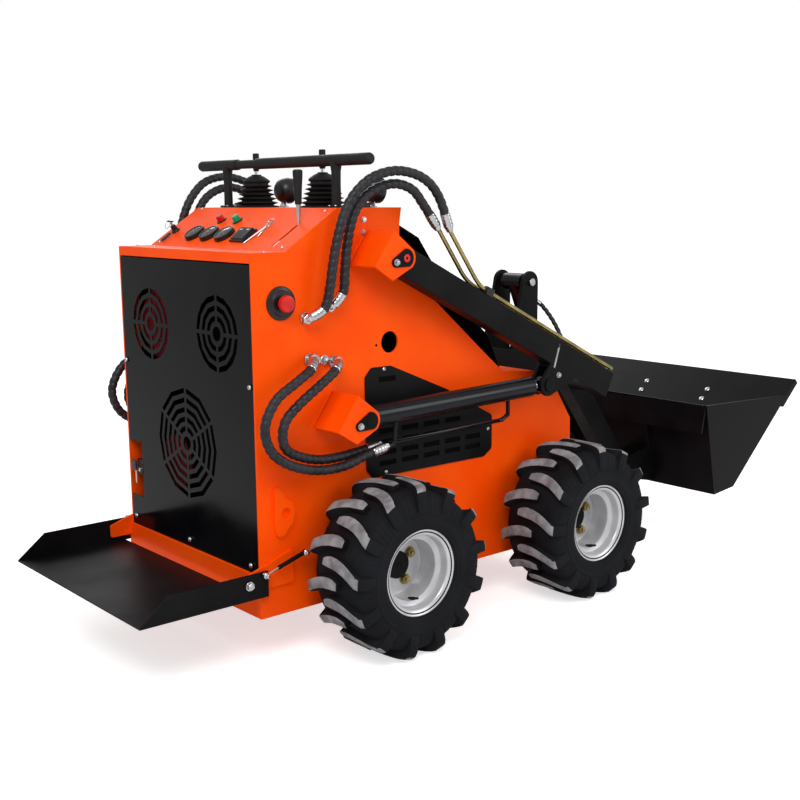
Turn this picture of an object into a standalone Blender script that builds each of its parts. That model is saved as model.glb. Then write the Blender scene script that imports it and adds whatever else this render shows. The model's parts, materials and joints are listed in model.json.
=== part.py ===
"""Stand-on skid steer loader with a bucket, in metres.

X runs forward to the bucket, Y to the machine's left and Z up from the ground. Every
length below is measured from the rear face of the body, its centre plane and the ground,
and place() moves the finished pieces so that the origin is under the middle of the machine.
"""
import math

import bmesh
import bpy
from mathutils import Matrix, Vector

# Fits shared by the whole machine
SEAT_GAP = 0.0003
PIN_CLEARANCE = 0.0005
OVERRUN = 0.020
ARC_STEPS = 5
ROUND_STEPS = 18
RIM_STEPS = 20
SMALL_STEPS = 12
SHARP_DEGREES = 30.0
FLAT_CORNER_DEGREES = 87.0

# Body
BODY_LENGTH = 1.155
BODY_WIDTH = 0.670
BODY_BOTTOM = 0.125
BODY_HEIGHT = 1.020
SIDE_THICKNESS = 0.006
SHEET_THICKNESS = 0.003
# Corners of the side plate: name, share of body length, share of body height
SIDE_SHARES = {
    "rear_bottom": (0.0, 0.0),
    "rear_top": (0.0, 0.898),
    "console_foot": (0.087, 0.898),
    "console_top": (0.225, 1.0),
    "top_front": (0.408, 1.0),
    "neck_top": (0.402, 0.956),
    "neck_foot": (0.402, 0.858),
    "slope_knee": (0.537, 0.729),
    "slope_low": (0.667, 0.606),
    "deck_rear": (0.740, 0.538),
    "deck_front": (0.851, 0.527),
    "nose_top": (0.946, 0.455),
    "nose_front": (0.998, 0.367),
    "front_top": (1.0, 0.299),
    "front_bottom": (1.0, 0.0),
}
PORT_HOLE_REACH = 0.032
PORT_HOLE_DROP = 0.225
PORT_HOLE_RADIUS = 0.029

# Side vent: share of its length and of its height for each corner
VENT_X = 0.341
VENT_Z = 0.432
VENT_LENGTH = 0.468
VENT_HEIGHT = 0.299
VENT_SHARES = (
    (0.0, 0.920),
    (0.045, 1.0),
    (0.188, 1.0),
    (0.620, 0.716),
    (1.0, 0.398),
    (1.0, 0.067),
    (0.930, 0.0),
    (0.051, 0.007),
    (0.006, 0.084),
)
VENT_CORNER = 0.012
VENT_MARGIN = 0.020
# Slots of the vent: the first one's middle, then their spacing, size and number a column
VENT_SLOT_X = 0.416
VENT_SLOT_Z = 0.469
VENT_SLOT_PITCH = 0.079
VENT_ROW_PITCH = 0.0295
VENT_SLOT_LENGTH = 0.058
VENT_SLOT_HEIGHT = 0.014
VENT_SLOT_ROWS = (4, 4, 4, 4, 3)
VENT_TOP_SLOT_Z = 0.697

# Kill switch on the right side, and the two tie-down loops
KILL_X = 0.083
KILL_Z = 0.917
KILL_RADIUS = 0.042
KILL_DEPTH = 0.012
KILL_KNOB_RADIUS = 0.021
KILL_KNOB_DEPTH = 0.034
TIE_X = 0.044
TIE_Z = 0.333
TIE_LENGTH = 0.062
TIE_HEIGHT = 0.128
TIE_THICKNESS = 0.010
TIE_HOLE_RADIUS = 0.014
TIE_HOLE_SHARE = (0.53, 0.45)
TIE_SHARES = (
    (0.0, 0.12),
    (0.14, 0.0),
    (0.45, 0.0),
    (0.62, 0.12),
    (0.88, 0.22),
    (1.0, 0.45),
    (0.88, 0.66),
    (0.52, 0.76),
    (0.34, 0.94),
    (0.16, 1.0),
    (0.0, 0.96),
)

# Rear panel with its fan grilles: middle as shares of the half width and the body's height,
# rings, spokes
PANEL_BOTTOM = 0.241
PANEL_TOP_GAP = 0.003
GRILLE_SHARES = (
    ((-0.5075, 0.696), 3, 4),
    ((0.5075, 0.696), 3, 4),
    ((0.0, 0.395), 5, 6),
)
GRILLE_HOLE_RADIUS = 0.019
GRILLE_FIRST_RADIUS = 0.033
GRILLE_PITCH = 0.0258
GRILLE_SLOT_WIDTH = 0.0135
GRILLE_SPOKE_WIDTH = 0.010
GRILLE_ARC_DEGREES = 24.0
NOTCH_Z = 0.330
NOTCH_HEIGHT = 0.160
NOTCH_WIDTH = 0.072

# Console, hood and lamps
STRIP_DROP = 0.025
HOOD_RISE = 0.035
LAMP_RADIUS = 0.038
LAMP_DEPTH = 0.045
LAMP_REACH = 0.005
LAMP_Y_SHARE = 0.618
LAMP_RISE = 0.048
LAMP_STEM_RADIUS = 0.008
BOOT_BACK = 0.122
BOOT_Y_SHARE = 0.4716
BOOT_RADIUS = 0.063
BOOT_HEIGHT = 0.092
BOOT_PLEATS = 5
BOOT_TAPER_SHARE = 0.45
PLEAT_DEPTH = 0.007
LEVER_RADIUS = 0.009
LEVER_RISE = 0.151
BAR_BACK = 0.154
BAR_RISE = 0.120
BAR_OVERHANG = 0.070
BAR_RADIUS = 0.015
BAR_LEG_Y_SHARE = 0.7731
BAR_LEG_RADIUS = 0.012

# Instruments on the console's slope: share of the half width, share of the way up, and
# radius and height in shares of a gauge's radius
GAUGE_RADIUS = 0.030
DIAL_SHARES = (
    (0.4955, 0.30, 1.0, 0.40),
    (0.2657, 0.30, 1.0, 0.40),
    (0.0388, 0.30, 1.0, 0.40),
    (0.3582, 0.66, 0.33, 0.60),
    (0.1164, 0.66, 0.33, 0.60),
    (0.8746, 0.40, 0.37, 1.0),
)
DIAL_SINK = 0.001
ROCKER_Y_SHARE = -0.2328
ROCKER_SHARE = 0.30
ROCKER_LENGTH = 0.050
ROCKER_WIDTH = 0.060
ROCKER_HEIGHT = 0.010
THROTTLE_Y_SHARE = -0.7612
THROTTLE_SLOT_SHARES = (0.0, 0.60)
THROTTLE_SLOT_WIDTH = 0.010
THROTTLE_SHARE = 0.62
THROTTLE_ROD_RADIUS = 0.004
THROTTLE_GRIP_RADIUS = 0.013
THROTTLE_GRIP_PLACE = 0.050
THROTTLE_LENGTH = 0.135

# Engine
ENGINE_X = 0.190
ENGINE_LENGTH = 0.560
ENGINE_WIDTH = 0.420
ENGINE_HEIGHT = 0.480

# Wheels
TYRE_RADIUS = 0.2285
TYRE_WIDTH = 0.210
TYRE_INSIDE_GAP = 0.030
REAR_AXLE_X = 0.340
WHEEL_BASE = 0.698
RIM_SEAT_RADIUS = 0.1015
RIM_SEAT_WIDTH = 0.022
RIM_WELL_RADIUS = 0.084
RIM_WELL_SLOPE = 0.012
RIM_WALL = 0.0045
RIM_FLANGE_RADIUS = 0.115
RIM_WIDTH = 0.180
RIM_FLANGE = 0.006
DISC_SETBACK = 0.008
DISC_THICKNESS = 0.006
HUB_RADIUS = 0.0365
HUB_STAND = 0.006
MOTOR_RADIUS = 0.055
MOTOR_PLATE = 0.140
MOTOR_PLATE_THICKNESS = 0.014
MOTOR_CLEARANCE = 0.005
LUG_COUNT = 13
LUG_HEIGHT = 0.019
LUG_TAPER_SHARE = 0.20
LUG_SKEW_SHARE = 0.34
# Tyre section from the bead to the middle: share of half width, share of section height
TYRE_SHARES = (
    (0.797, 0.0),
    (0.797, 0.140),
    (1.0, 0.450),
    (0.930, 0.840),
    (0.360, 1.0),
)
LUG_FIRST_ROW = 2
COLUMNS_PER_LUG = 4

# Brackets that carry the arms and the lift cylinders
BRACKET_STAND = 0.105
BRACKET_THICKNESS = 0.008
BRACKET_FOLD_LENGTH = 0.108
BRACKET_FOLD_DEGREES = 54.0
BRACKET_END_RADIUS = 0.033
BRACKET_TIP_BACK = 0.042
BRACKET_TIP_DROP = 0.055
BRACKET_PIN_BACK = 0.100
BRACKET_PIN_RISE = 0.018
BRACKET_ARC_DEGREES = (-45.0, 40.0)
# Plate that keeps a bracket's pin from turning
RETAINER_THICKNESS = 0.004
RETAINER_RADIUS = 0.024
RETAINER_TAIL_RADIUS = 0.011
RETAINER_TAIL_BACK = 0.034
RETAINER_TAIL_DROP = 0.010
RETAINER_HEAD_DEGREES = 120.0
RETAINER_TAIL_DEGREES = 60.0

# Arms: their rear pin from the side plate's front top corner, the rest from that pin
ARM_PIN_BACK = 0.075
ARM_PIN_DROP = 0.126
ARM_STAND = 0.060
ARM_REACH_SHARE = 0.7296
ARM_DROP_SHARE = 0.4083
ARM_DEPTH = 0.075
ARM_WIDTH = 0.050
ARM_PIN_RADIUS = 0.020
ROD_PIN_REACH_SHARE = 0.4900
ROD_PIN_DROP_SHARE = 0.3804
LOBE_RADIUS = 0.033
LOBE_REAR = 0.030
LOBE_ARC_DEGREES = (170.0, 300.0)
FORK_SLOT_LENGTH = 0.165
ELBOW_REACH_SHARE = 0.5931
ELBOW_DROP_SHARE = 0.3716
ELBOW_FRONT_DEPTH = 0.078
FORK_GAP = 0.028

# Cross beam, legs and tower between the arms
BEAM_BACK = 0.070
BEAM_LENGTH = 0.090
LEG_Y = 0.295
LEG_WIDTH = 0.050
LEG_DEPTH = 0.070
TILT_PIVOT_REACH_SHARE = 0.8952
TILT_PIVOT_DROP_SHARE = 0.7147
TILT_PIN_RADIUS = 0.016
TOWER_PIN_REACH_SHARE = 0.7394
TOWER_PIN_DROP_SHARE = 0.1176
TOWER_PIN_RADIUS = 0.0125
TOWER_Y = 0.063
TOWER_THICKNESS = 0.012
TOWER_RADIUS = 0.036

# Lift cylinders
LIFT_BASE_BACK = 0.122
LIFT_BASE_DROP_SHARE = 0.3961
LIFT_BARREL_RADIUS = 0.029
LIFT_ROD_RADIUS = 0.0175
LIFT_PIN_RADIUS = 0.015
LIFT_EYE_RADIUS = 0.029
LIFT_EYE_WIDTH = 0.036
LIFT_ROD_EYE_RADIUS = 0.028
LIFT_ROD_EYE_WIDTH = 0.018
LIFT_GLAND_BACK = 0.056
LIFT_BORE_START = 0.075
LIFT_ROD_START = 0.090
LIFT_ROD_NECK = 0.042
# Steel lines under the lift barrel: out from its middle in shares of the hose radius, then
# along it in shares of the gland's place and down in shares of the barrel's radius
LIFT_LINE_RADIUS = 0.006
LIFT_LINE_SHARES = (
    (-1.1, ((0.130, -2.79), (0.843, -2.52), (0.881, -2.07), (0.881, -0.28))),
    (1.1, ((0.130, -2.79), (0.166, -2.72), (0.174, -0.69))),
)

# Tilt cylinder
TILT_LEVER_REACH = 0.020
TILT_LEVER_RISE = 0.160
TILT_BARREL_RADIUS = 0.027
TILT_ROD_RADIUS = 0.0125
TILT_EYE_RADIUS = 0.027
TILT_EYE_WIDTH = 0.080
TILT_ROD_EYE_RADIUS = 0.024
TILT_ROD_EYE_WIDTH = 0.026
TILT_GLAND_BACK = 0.0515
TILT_BORE_START = 0.070
TILT_ROD_START = 0.085
TILT_ROD_NECK = 0.034

# Bucket
BUCKET_WIDTH = 1.150
BUCKET_REACH = 0.096
BUCKET_DROP = 0.067
BUCKET_DEPTH = 0.464
BUCKET_HEIGHT = 0.299
BUCKET_SIDE_THICKNESS = 0.008
BUCKET_SHELL_THICKNESS = 0.006
# Corners of the bucket's side: share of its depth, share of its height
BUCKET_SHARES = (
    (0.0, 1.0),
    (0.134, 0.0),
    (0.362, 0.034),
    (1.0, 0.940),
)
BLADE_THICKNESS = 0.019
BLADE_DEPTH = 0.110
BLADE_REACH = 0.070
HOOK_DROP = 0.085
HOOK_OUT = 0.030

# Quick attach plate
ATTACH_THICKNESS = 0.010
ATTACH_BOTTOM = 0.006
ATTACH_TOP = 0.262
EAR_TOP_ON_PLATE = 0.131
LUG_FOOT = 0.0655
LUG_TOP = 0.185
EAR_THICKNESS = 0.008
EAR_GAP = 0.007
EAR_RADIUS = 0.032
TILT_LUG_RADIUS = 0.026
LUG_THICKNESS = 0.012
LUG_GAP = 0.005

# Rear bar and platform
BAR_BOTTOM = 0.170
EAR_REAR = -0.070
EAR_FRONT = 0.098
EAR_BOTTOM = 0.205
EAR_TOP = 0.295
EAR_PLATE = 0.006
PLATFORM_REAR = -0.343
PLATFORM_FRONT = -0.025
PLATFORM_FLOOR = 0.188
PLATFORM_TOP = 0.255
PLATFORM_SHEET = 0.004
PLATFORM_CLEARANCE = 0.005
PLATFORM_PIVOT_X = -0.043
PLATFORM_PIVOT_Z = 0.228
PLATFORM_PIN_RADIUS = 0.009
FLANGE_FRONT = 0.015
FLANGE_SLOPE = 0.080
STRUT_BASE_X = 0.122
STRUT_BASE_Z = 0.284
STRUT_END_X = 0.000
STRUT_END_Z = 0.248
STRUT_BARREL_RADIUS = 0.0055
STRUT_ROD_RADIUS = 0.003
STRUT_EYE_RADIUS = 0.007
STRUT_EYE_WIDTH = 0.008
STRUT_PIN_RADIUS = 0.003
STRUT_GLAND_PLACE = 0.086
STRUT_BORE_START = 0.012
STRUT_ROD_START = 0.018
STRUT_ROD_NECK = 0.008

# Hoses and pipes
HOSE_RADIUS = 0.0130
TILT_HOSE_RADIUS = 0.008
HOSE_STUB = 0.024
HOSE_SPAN = 0.350
TILT_PORT_PLACE = 0.100
POINT_SPACING_SHARE = 5.6
ROUTE_STEPS = 12
PIPE_RADIUS = 0.006
PIPE_STEPS = 8
# Place of each line across the arm, in shares of its radius
PIPE_PLACE_SHARES = (-1.05, 2.25)
PIPE_BEND_PLACE = 0.265
PIPE_BEND_STEP = 0.035
PIPE_END_PLACE = 0.935
PIPE_LEAN_SHARE = 0.72
PIPE_RISE = 0.176
PIPE_RISE_STEP = 0.012
CLAMP_PLACE = 0.335
CLAMP_SIZE = 0.024


def side_point(name):
    """A named corner of the side plate as (x, z)."""
    x_share, z_share = SIDE_SHARES[name]
    return (x_share * BODY_LENGTH, BODY_BOTTOM + z_share * BODY_HEIGHT)


def reach_from(point, forward, drop):
    """A point ahead of another and below it, as (x, z)."""
    return (point[0] + forward, point[1] - drop)


SIDE_Y = BODY_WIDTH / 2
WHEEL_Y = SIDE_Y + TYRE_INSIDE_GAP + TYRE_WIDTH / 2
INNER_Y = SIDE_Y - SIDE_THICKNESS - SEAT_GAP
ARM_Y = SIDE_Y + ARM_STAND
BRACKET_Y = SIDE_Y + BRACKET_STAND
BODY_TOP = BODY_BOTTOM + BODY_HEIGHT

# Pins of the boom and of its cylinders, as (x, z)
ARM_PIN = reach_from(side_point("top_front"), -ARM_PIN_BACK, ARM_PIN_DROP)
ROD_PIN = reach_from(ARM_PIN, ROD_PIN_REACH_SHARE * BODY_LENGTH, ROD_PIN_DROP_SHARE * BODY_HEIGHT)
ARM_END = reach_from(ARM_PIN, ARM_REACH_SHARE * BODY_LENGTH, ARM_DROP_SHARE * BODY_HEIGHT)
ELBOW = reach_from(ARM_PIN, ELBOW_REACH_SHARE * BODY_LENGTH, ELBOW_DROP_SHARE * BODY_HEIGHT)
LIFT_BASE = reach_from(ARM_PIN, -LIFT_BASE_BACK, LIFT_BASE_DROP_SHARE * BODY_HEIGHT)
TOWER_PIN = reach_from(ARM_PIN, TOWER_PIN_REACH_SHARE * BODY_LENGTH, TOWER_PIN_DROP_SHARE * BODY_HEIGHT)
TILT_PIVOT = reach_from(ARM_PIN, TILT_PIVOT_REACH_SHARE * BODY_LENGTH, TILT_PIVOT_DROP_SHARE * BODY_HEIGHT)
TILT_ROD_PIN = reach_from(TILT_PIVOT, TILT_LEVER_REACH, -TILT_LEVER_RISE)
BUCKET_CORNER = reach_from(TILT_PIVOT, BUCKET_REACH, BUCKET_DROP)
STRUT_BASE = (STRUT_BASE_X, STRUT_BASE_Z)
STRUT_END = (STRUT_END_X, STRUT_END_Z)


def clear_scene():
    for item in list(bpy.data.objects):
        bpy.data.objects.remove(item, do_unlink=True)


def material(name, colour, roughness, metallic):
    """A plain painted, rubber or metal finish from a linear colour in shares of one."""
    finish = bpy.data.materials.get(name)
    if finish:
        return finish
    finish = bpy.data.materials.new(name)
    finish.use_nodes = True
    shader = finish.node_tree.nodes["Principled BSDF"]
    shader.inputs["Base Color"].default_value = (*colour, 1.0)
    shader.inputs["Roughness"].default_value = roughness
    shader.inputs["Metallic"].default_value = metallic
    return finish


def orange():
    return material("orange_paint", (1.0, 0.10, 0.0), 0.35, 0.0)


def black():
    return material("black_powder_coat", (0.012, 0.011, 0.012), 0.45, 0.0)


def rubber():
    return material("rubber", (0.02, 0.02, 0.022), 0.85, 0.0)


def silver():
    return material("silver_paint", (0.62, 0.62, 0.62), 0.35, 0.6)


def chrome():
    return material("chromed_steel", (0.75, 0.75, 0.76), 0.12, 1.0)


def zinc():
    return material("yellow_zinc", (0.45, 0.38, 0.20), 0.35, 0.9)


# Outlines

def along(start, direction, length):
    return (start[0] + direction[0] * length, start[1] + direction[1] * length)


def unit(degrees):
    angle = math.radians(degrees)
    return (math.cos(angle), math.sin(angle))


def heading(start, end):
    """Unit direction and length from one (x, z) point to another."""
    across = end[0] - start[0]
    up = end[1] - start[1]
    length = math.hypot(across, up)
    return (across / length, up / length), length


def arc(centre, radius, start_degrees, end_degrees, steps=ARC_STEPS):
    """Points on an arc, both ends included."""
    points = []
    for step in range(steps + 1):
        turn = start_degrees + (end_degrees - start_degrees) * step / steps
        points.append(along(centre, unit(turn), radius))
    return points


def rounded(points, radius, steps=ARC_STEPS):
    """The same outline with each corner turned into an arc of one radius."""
    count = len(points)
    result = []
    for index, corner in enumerate(points):
        back, back_length = heading(corner, points[index - 1])
        on, on_length = heading(corner, points[(index + 1) % count])
        cosine = back[0] * on[0] + back[1] * on[1]
        half = math.acos(max(-1.0, min(1.0, cosine))) / 2
        reach = min(radius / math.tan(half), back_length / 2, on_length / 2)
        first = along(corner, back, reach)
        last = along(corner, on, reach)
        if half > math.radians(FLAT_CORNER_DEGREES):
            result.append(corner)
            continue
        for step in range(steps + 1):
            share = step / steps
            entry = along(first, heading(first, corner)[0], reach * share)
            leave = along(corner, on, reach * share)
            blend_x = entry[0] + (leave[0] - entry[0]) * share
            blend_z = entry[1] + (leave[1] - entry[1]) * share
            result.append((blend_x, blend_z))
        result[-1] = last
    return result


def sheet(path, thickness):
    """Closed outline of a bent sheet: the path, and the path moved to its left."""
    inner = []
    last = len(path) - 1
    for index, point in enumerate(path):
        before = heading(path[index - 1], point)[0] if index > 0 else None
        after = heading(point, path[index + 1])[0] if index < last else None
        before = before or after
        after = after or before
        normal = (-(before[1] + after[1]), before[0] + after[0])
        length = math.hypot(*normal)
        normal = (normal[0] / length, normal[1] / length)
        square = -before[1] * normal[0] + before[0] * normal[1]
        inner.append(along(point, normal, thickness / square))
    return list(path) + inner[::-1]


# The bucket's blade, whose tip is the front of the machine

def bucket_point(x_share, z_share):
    return (BUCKET_CORNER[0] + BUCKET_DEPTH * x_share, BUCKET_CORNER[1] + BUCKET_HEIGHT * z_share)


def blade_outline():
    """The blade's (x, z) outline, set into the front of the bucket's floor and past it."""
    heel = bucket_point(*BUCKET_SHARES[2])
    lip = bucket_point(*BUCKET_SHARES[3])
    floor, _ = heading(heel, lip)
    inward = (-floor[1], floor[0])
    tip = along(along(lip, floor, BLADE_REACH), inward, BUCKET_SHELL_THICKNESS / 2)
    tail = along(tip, floor, -BLADE_DEPTH)
    return sheet([tail, tip], -BLADE_THICKNESS)


ORIGIN_X = (PLATFORM_REAR + max(point[0] for point in blade_outline())) / 2


# Solids

def prism(mesh, outline, low, high, axis="Y"):
    """A straight solid of an outline. The outline is (x, z), (y, z) or (x, y)."""
    def corner(point, depth):
        if axis == "Y":
            return (point[0], depth, point[1])
        if axis == "X":
            return (depth, point[0], point[1])
        return (point[0], point[1], depth)
    near = [mesh.verts.new(corner(point, low)) for point in outline]
    far = [mesh.verts.new(corner(point, high)) for point in outline]
    faces = [mesh.faces.new(near), mesh.faces.new(far)]
    count = len(outline)
    for index in range(count):
        following = (index + 1) % count
        faces.append(mesh.faces.new((near[index], near[following], far[following], far[index])))
    bmesh.ops.recalc_face_normals(mesh, faces=faces)
    return faces


def box(mesh, low, high):
    outline = ((low[0], low[2]), (high[0], low[2]), (high[0], high[2]), (low[0], high[2]))
    return prism(mesh, outline, low[1], high[1])


def lathe(mesh, profile, start, direction, steps=ROUND_STEPS, closed=True):
    """A turned solid. The profile is (radius, place along the axis)."""
    axis = Vector(direction).normalized()
    side = axis.orthogonal().normalized()
    other = axis.cross(side)
    rings = []
    for radius, place in profile:
        centre = Vector(start) + axis * place
        if radius == 0:
            rings.append([mesh.verts.new(centre)])
            continue
        ring = []
        for step in range(steps):
            turn = 2 * math.pi * step / steps
            ring.append(mesh.verts.new(centre + (side * math.cos(turn) + other * math.sin(turn)) * radius))
        rings.append(ring)
    faces = []
    pairs = list(zip(rings, rings[1:]))
    if closed:
        pairs.append((rings[-1], rings[0]))
    for first, second in pairs:
        for step in range(steps):
            following = (step + 1) % steps
            if len(first) == 1:
                faces.append(mesh.faces.new((first[0], second[following], second[step])))
            elif len(second) == 1:
                faces.append(mesh.faces.new((first[step], first[following], second[0])))
            else:
                quad = (first[step], first[following], second[following], second[step])
                faces.append(mesh.faces.new(quad))
    bmesh.ops.recalc_face_normals(mesh, faces=faces)
    return faces


def cylinder(mesh, start, direction, radius, length, steps=ROUND_STEPS):
    profile = ((0, 0), (radius, 0), (radius, length), (0, length))
    return lathe(mesh, profile, start, direction, steps, closed=False)


def place(name, mesh, finish, pivot=(0, 0, 0)):
    """An object from a mesh drawn in the machine's frame, with its origin on its pivot."""
    data = bpy.data.meshes.new(name)
    bmesh.ops.translate(mesh, verts=mesh.verts, vec=-Vector(pivot))
    mesh.to_mesh(data)
    mesh.free()
    item = bpy.data.objects.new(name, data)
    bpy.context.scene.collection.objects.link(item)
    item.location = Vector(pivot) - Vector((ORIGIN_X, 0, 0))
    if finish:
        data.materials.append(finish)
        data.shade_smooth()
        data.set_sharp_from_angle(angle=math.radians(SHARP_DEGREES))
    return item


def tool(name, mesh):
    """A shape that cuts or joins another and isn't itself a piece."""
    item = place(name, mesh, None)
    item.hide_render = True
    item.display_type = "WIRE"
    return item


def combine(item, operation, helper):
    step = item.modifiers.new(operation.lower(), "BOOLEAN")
    step.operation = operation
    step.solver = "EXACT"
    step.object = helper


def cut(item, mesh):
    combine(item, "DIFFERENCE", tool(item.name + "_cutter", mesh))


def join(item, mesh):
    combine(item, "UNION", tool(item.name + "_addition", mesh))


def span(side, inner, outer):
    """The low and high Y of a piece between two distances from the centre plane."""
    return (inner, outer) if side > 0 else (-outer, -inner)


def side_name(side):
    return "left" if side > 0 else "right"


# Body pieces

def side_plate(side):
    outline = [side_point(name) for name in SIDE_SHARES]
    low, high = span(side, SIDE_Y - SIDE_THICKNESS, SIDE_Y)
    mesh = bmesh.new()
    prism(mesh, outline, low, high)
    item = place("side_plate_" + side_name(side), mesh, orange())
    holes = bmesh.new()
    port_x, port_z = reach_from(ARM_PIN, PORT_HOLE_REACH, PORT_HOLE_DROP)
    cylinder(holes, (port_x, low - OVERRUN, port_z), (0, 1, 0), PORT_HOLE_RADIUS,
             SIDE_THICKNESS + 2 * OVERRUN)
    prism(holes, vent_outline(VENT_MARGIN), low - OVERRUN, high + OVERRUN)
    cut(item, holes)
    loop = bmesh.new()
    outline = []
    for x_share, z_share in TIE_SHARES:
        outline.append((TIE_X + TIE_LENGTH * x_share, TIE_Z + TIE_HEIGHT * z_share))
    loop_low, loop_high = span(side, SIDE_Y - SIDE_THICKNESS / 2, SIDE_Y + TIE_THICKNESS)
    prism(loop, outline, loop_low, loop_high)
    join(item, loop)
    eye = bmesh.new()
    eye_x = TIE_X + TIE_LENGTH * TIE_HOLE_SHARE[0]
    eye_z = TIE_Z + TIE_HEIGHT * TIE_HOLE_SHARE[1]
    cylinder(eye, (eye_x, side * SIDE_Y, eye_z), (0, side, 0), TIE_HOLE_RADIUS, TIE_THICKNESS + OVERRUN,
             SMALL_STEPS)
    cut(item, eye)
    if side < 0:
        profile = ((0, -SIDE_THICKNESS / 2), (KILL_RADIUS, -SIDE_THICKNESS / 2), (KILL_RADIUS, KILL_DEPTH))
        profile += ((KILL_KNOB_RADIUS, KILL_DEPTH), (KILL_KNOB_RADIUS, KILL_KNOB_DEPTH), (0, KILL_KNOB_DEPTH))
        switch = bmesh.new()
        lathe(switch, profile, (KILL_X, -SIDE_Y, KILL_Z), (0, -1, 0), closed=False)
        join(item, switch)
    return item


def vent_outline(margin):
    """The vent's corners, drawn in towards its middle by a margin."""
    middle_share = 0.5
    width = VENT_LENGTH - 2 * margin
    height = VENT_HEIGHT - 2 * margin
    middle_x = VENT_X + VENT_LENGTH * middle_share
    middle_z = VENT_Z + VENT_HEIGHT * middle_share
    points = []
    for x_share, z_share in VENT_SHARES:
        points.append((middle_x + (x_share - middle_share) * width,
                       middle_z + (z_share - middle_share) * height))
    return points


def side_vent(side):
    low, high = span(side, SIDE_Y + SEAT_GAP, SIDE_Y + SEAT_GAP + SHEET_THICKNESS)
    mesh = bmesh.new()
    prism(mesh, rounded(vent_outline(0), VENT_CORNER, 2), low, high)
    item = place("side_vent_" + side_name(side), mesh, black())
    slots = bmesh.new()
    half = VENT_SLOT_LENGTH / 2
    rise = VENT_SLOT_HEIGHT / 2
    places = [(VENT_SLOT_X, VENT_TOP_SLOT_Z)]
    for column, rows in enumerate(VENT_SLOT_ROWS):
        for row in range(rows):
            places.append((VENT_SLOT_X + VENT_SLOT_PITCH * column, VENT_SLOT_Z + VENT_ROW_PITCH * row))
    for middle_x, middle_z in places:
        box(slots, (middle_x - half, low - OVERRUN, middle_z - rise),
            (middle_x + half, high + OVERRUN, middle_z + rise))
    cut(item, slots)
    return item


def lower_frame():
    path = [(0, PANEL_BOTTOM - SHEET_THICKNESS)]
    path += [side_point("rear_bottom"), side_point("front_bottom"), side_point("front_top")]
    path += [side_point("nose_front"), side_point("nose_top"), side_point("deck_front")]
    path += [side_point("deck_rear")]
    mesh = bmesh.new()
    prism(mesh, sheet(path, SIDE_THICKNESS), -INNER_Y, INNER_Y)
    return place("lower_frame", mesh, orange())


def console():
    foot_x, foot_z = side_point("console_foot")
    top_x, top_z = side_point("console_top")
    front_x, front_z = side_point("top_front")
    neck_x, neck_z = side_point("neck_top")
    path = [(neck_x, neck_z), (front_x, front_z), (top_x, top_z), (foot_x, foot_z)]
    path += [side_point("rear_top"), (0, foot_z - STRIP_DROP)]
    mesh = bmesh.new()
    prism(mesh, sheet(path, SHEET_THICKNESS), -INNER_Y, INNER_Y)
    item = place("console", mesh, orange())
    slope, slope_length = heading((foot_x, foot_z), (top_x, top_z))
    upward = (-slope[1], slope[0])

    def slope_point(share, rise=0):
        return along(along((foot_x, foot_z), slope, slope_length * share), upward, rise)

    throttle_y = SIDE_Y * THROTTLE_Y_SHARE
    slot = bmesh.new()
    ends = [slope_point(share, -OVERRUN) for share in THROTTLE_SLOT_SHARES]
    outline = [along(ends[0], slope, OVERRUN), ends[1]]
    outline += [along(point, upward, 2 * OVERRUN) for point in reversed(outline)]
    prism(slot, outline, throttle_y - THROTTLE_SLOT_WIDTH / 2, throttle_y + THROTTLE_SLOT_WIDTH / 2)
    cut(item, slot)
    dials = bmesh.new()
    for y_share, share, radius_share, height_share in DIAL_SHARES:
        start = slope_point(share, -DIAL_SINK)
        cylinder(dials, (start[0], SIDE_Y * y_share, start[1]), (upward[0], 0, upward[1]),
                 GAUGE_RADIUS * radius_share, GAUGE_RADIUS * height_share + DIAL_SINK, SMALL_STEPS)
    start = slope_point(ROCKER_SHARE, -DIAL_SINK)
    corners = [along(start, slope, -ROCKER_LENGTH / 2), along(start, slope, ROCKER_LENGTH / 2)]
    corners += [along(point, upward, ROCKER_HEIGHT + DIAL_SINK) for point in reversed(corners)]
    rocker_y = SIDE_Y * ROCKER_Y_SHARE
    prism(dials, corners, rocker_y - ROCKER_WIDTH / 2, rocker_y + ROCKER_WIDTH / 2)
    join(item, dials)
    start = slope_point(THROTTLE_SHARE, -DIAL_SINK)
    profile = ((0, 0), (THROTTLE_ROD_RADIUS, 0), (THROTTLE_ROD_RADIUS, THROTTLE_GRIP_PLACE))
    profile += ((THROTTLE_GRIP_RADIUS - THROTTLE_ROD_RADIUS, THROTTLE_GRIP_PLACE),)
    profile += ((THROTTLE_GRIP_RADIUS, THROTTLE_LENGTH), (0, THROTTLE_LENGTH))
    throttle = bmesh.new()
    lathe(throttle, profile, (start[0], throttle_y, start[1]), (0, 0, 1), SMALL_STEPS, closed=False)
    join(item, throttle)
    return item


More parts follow.
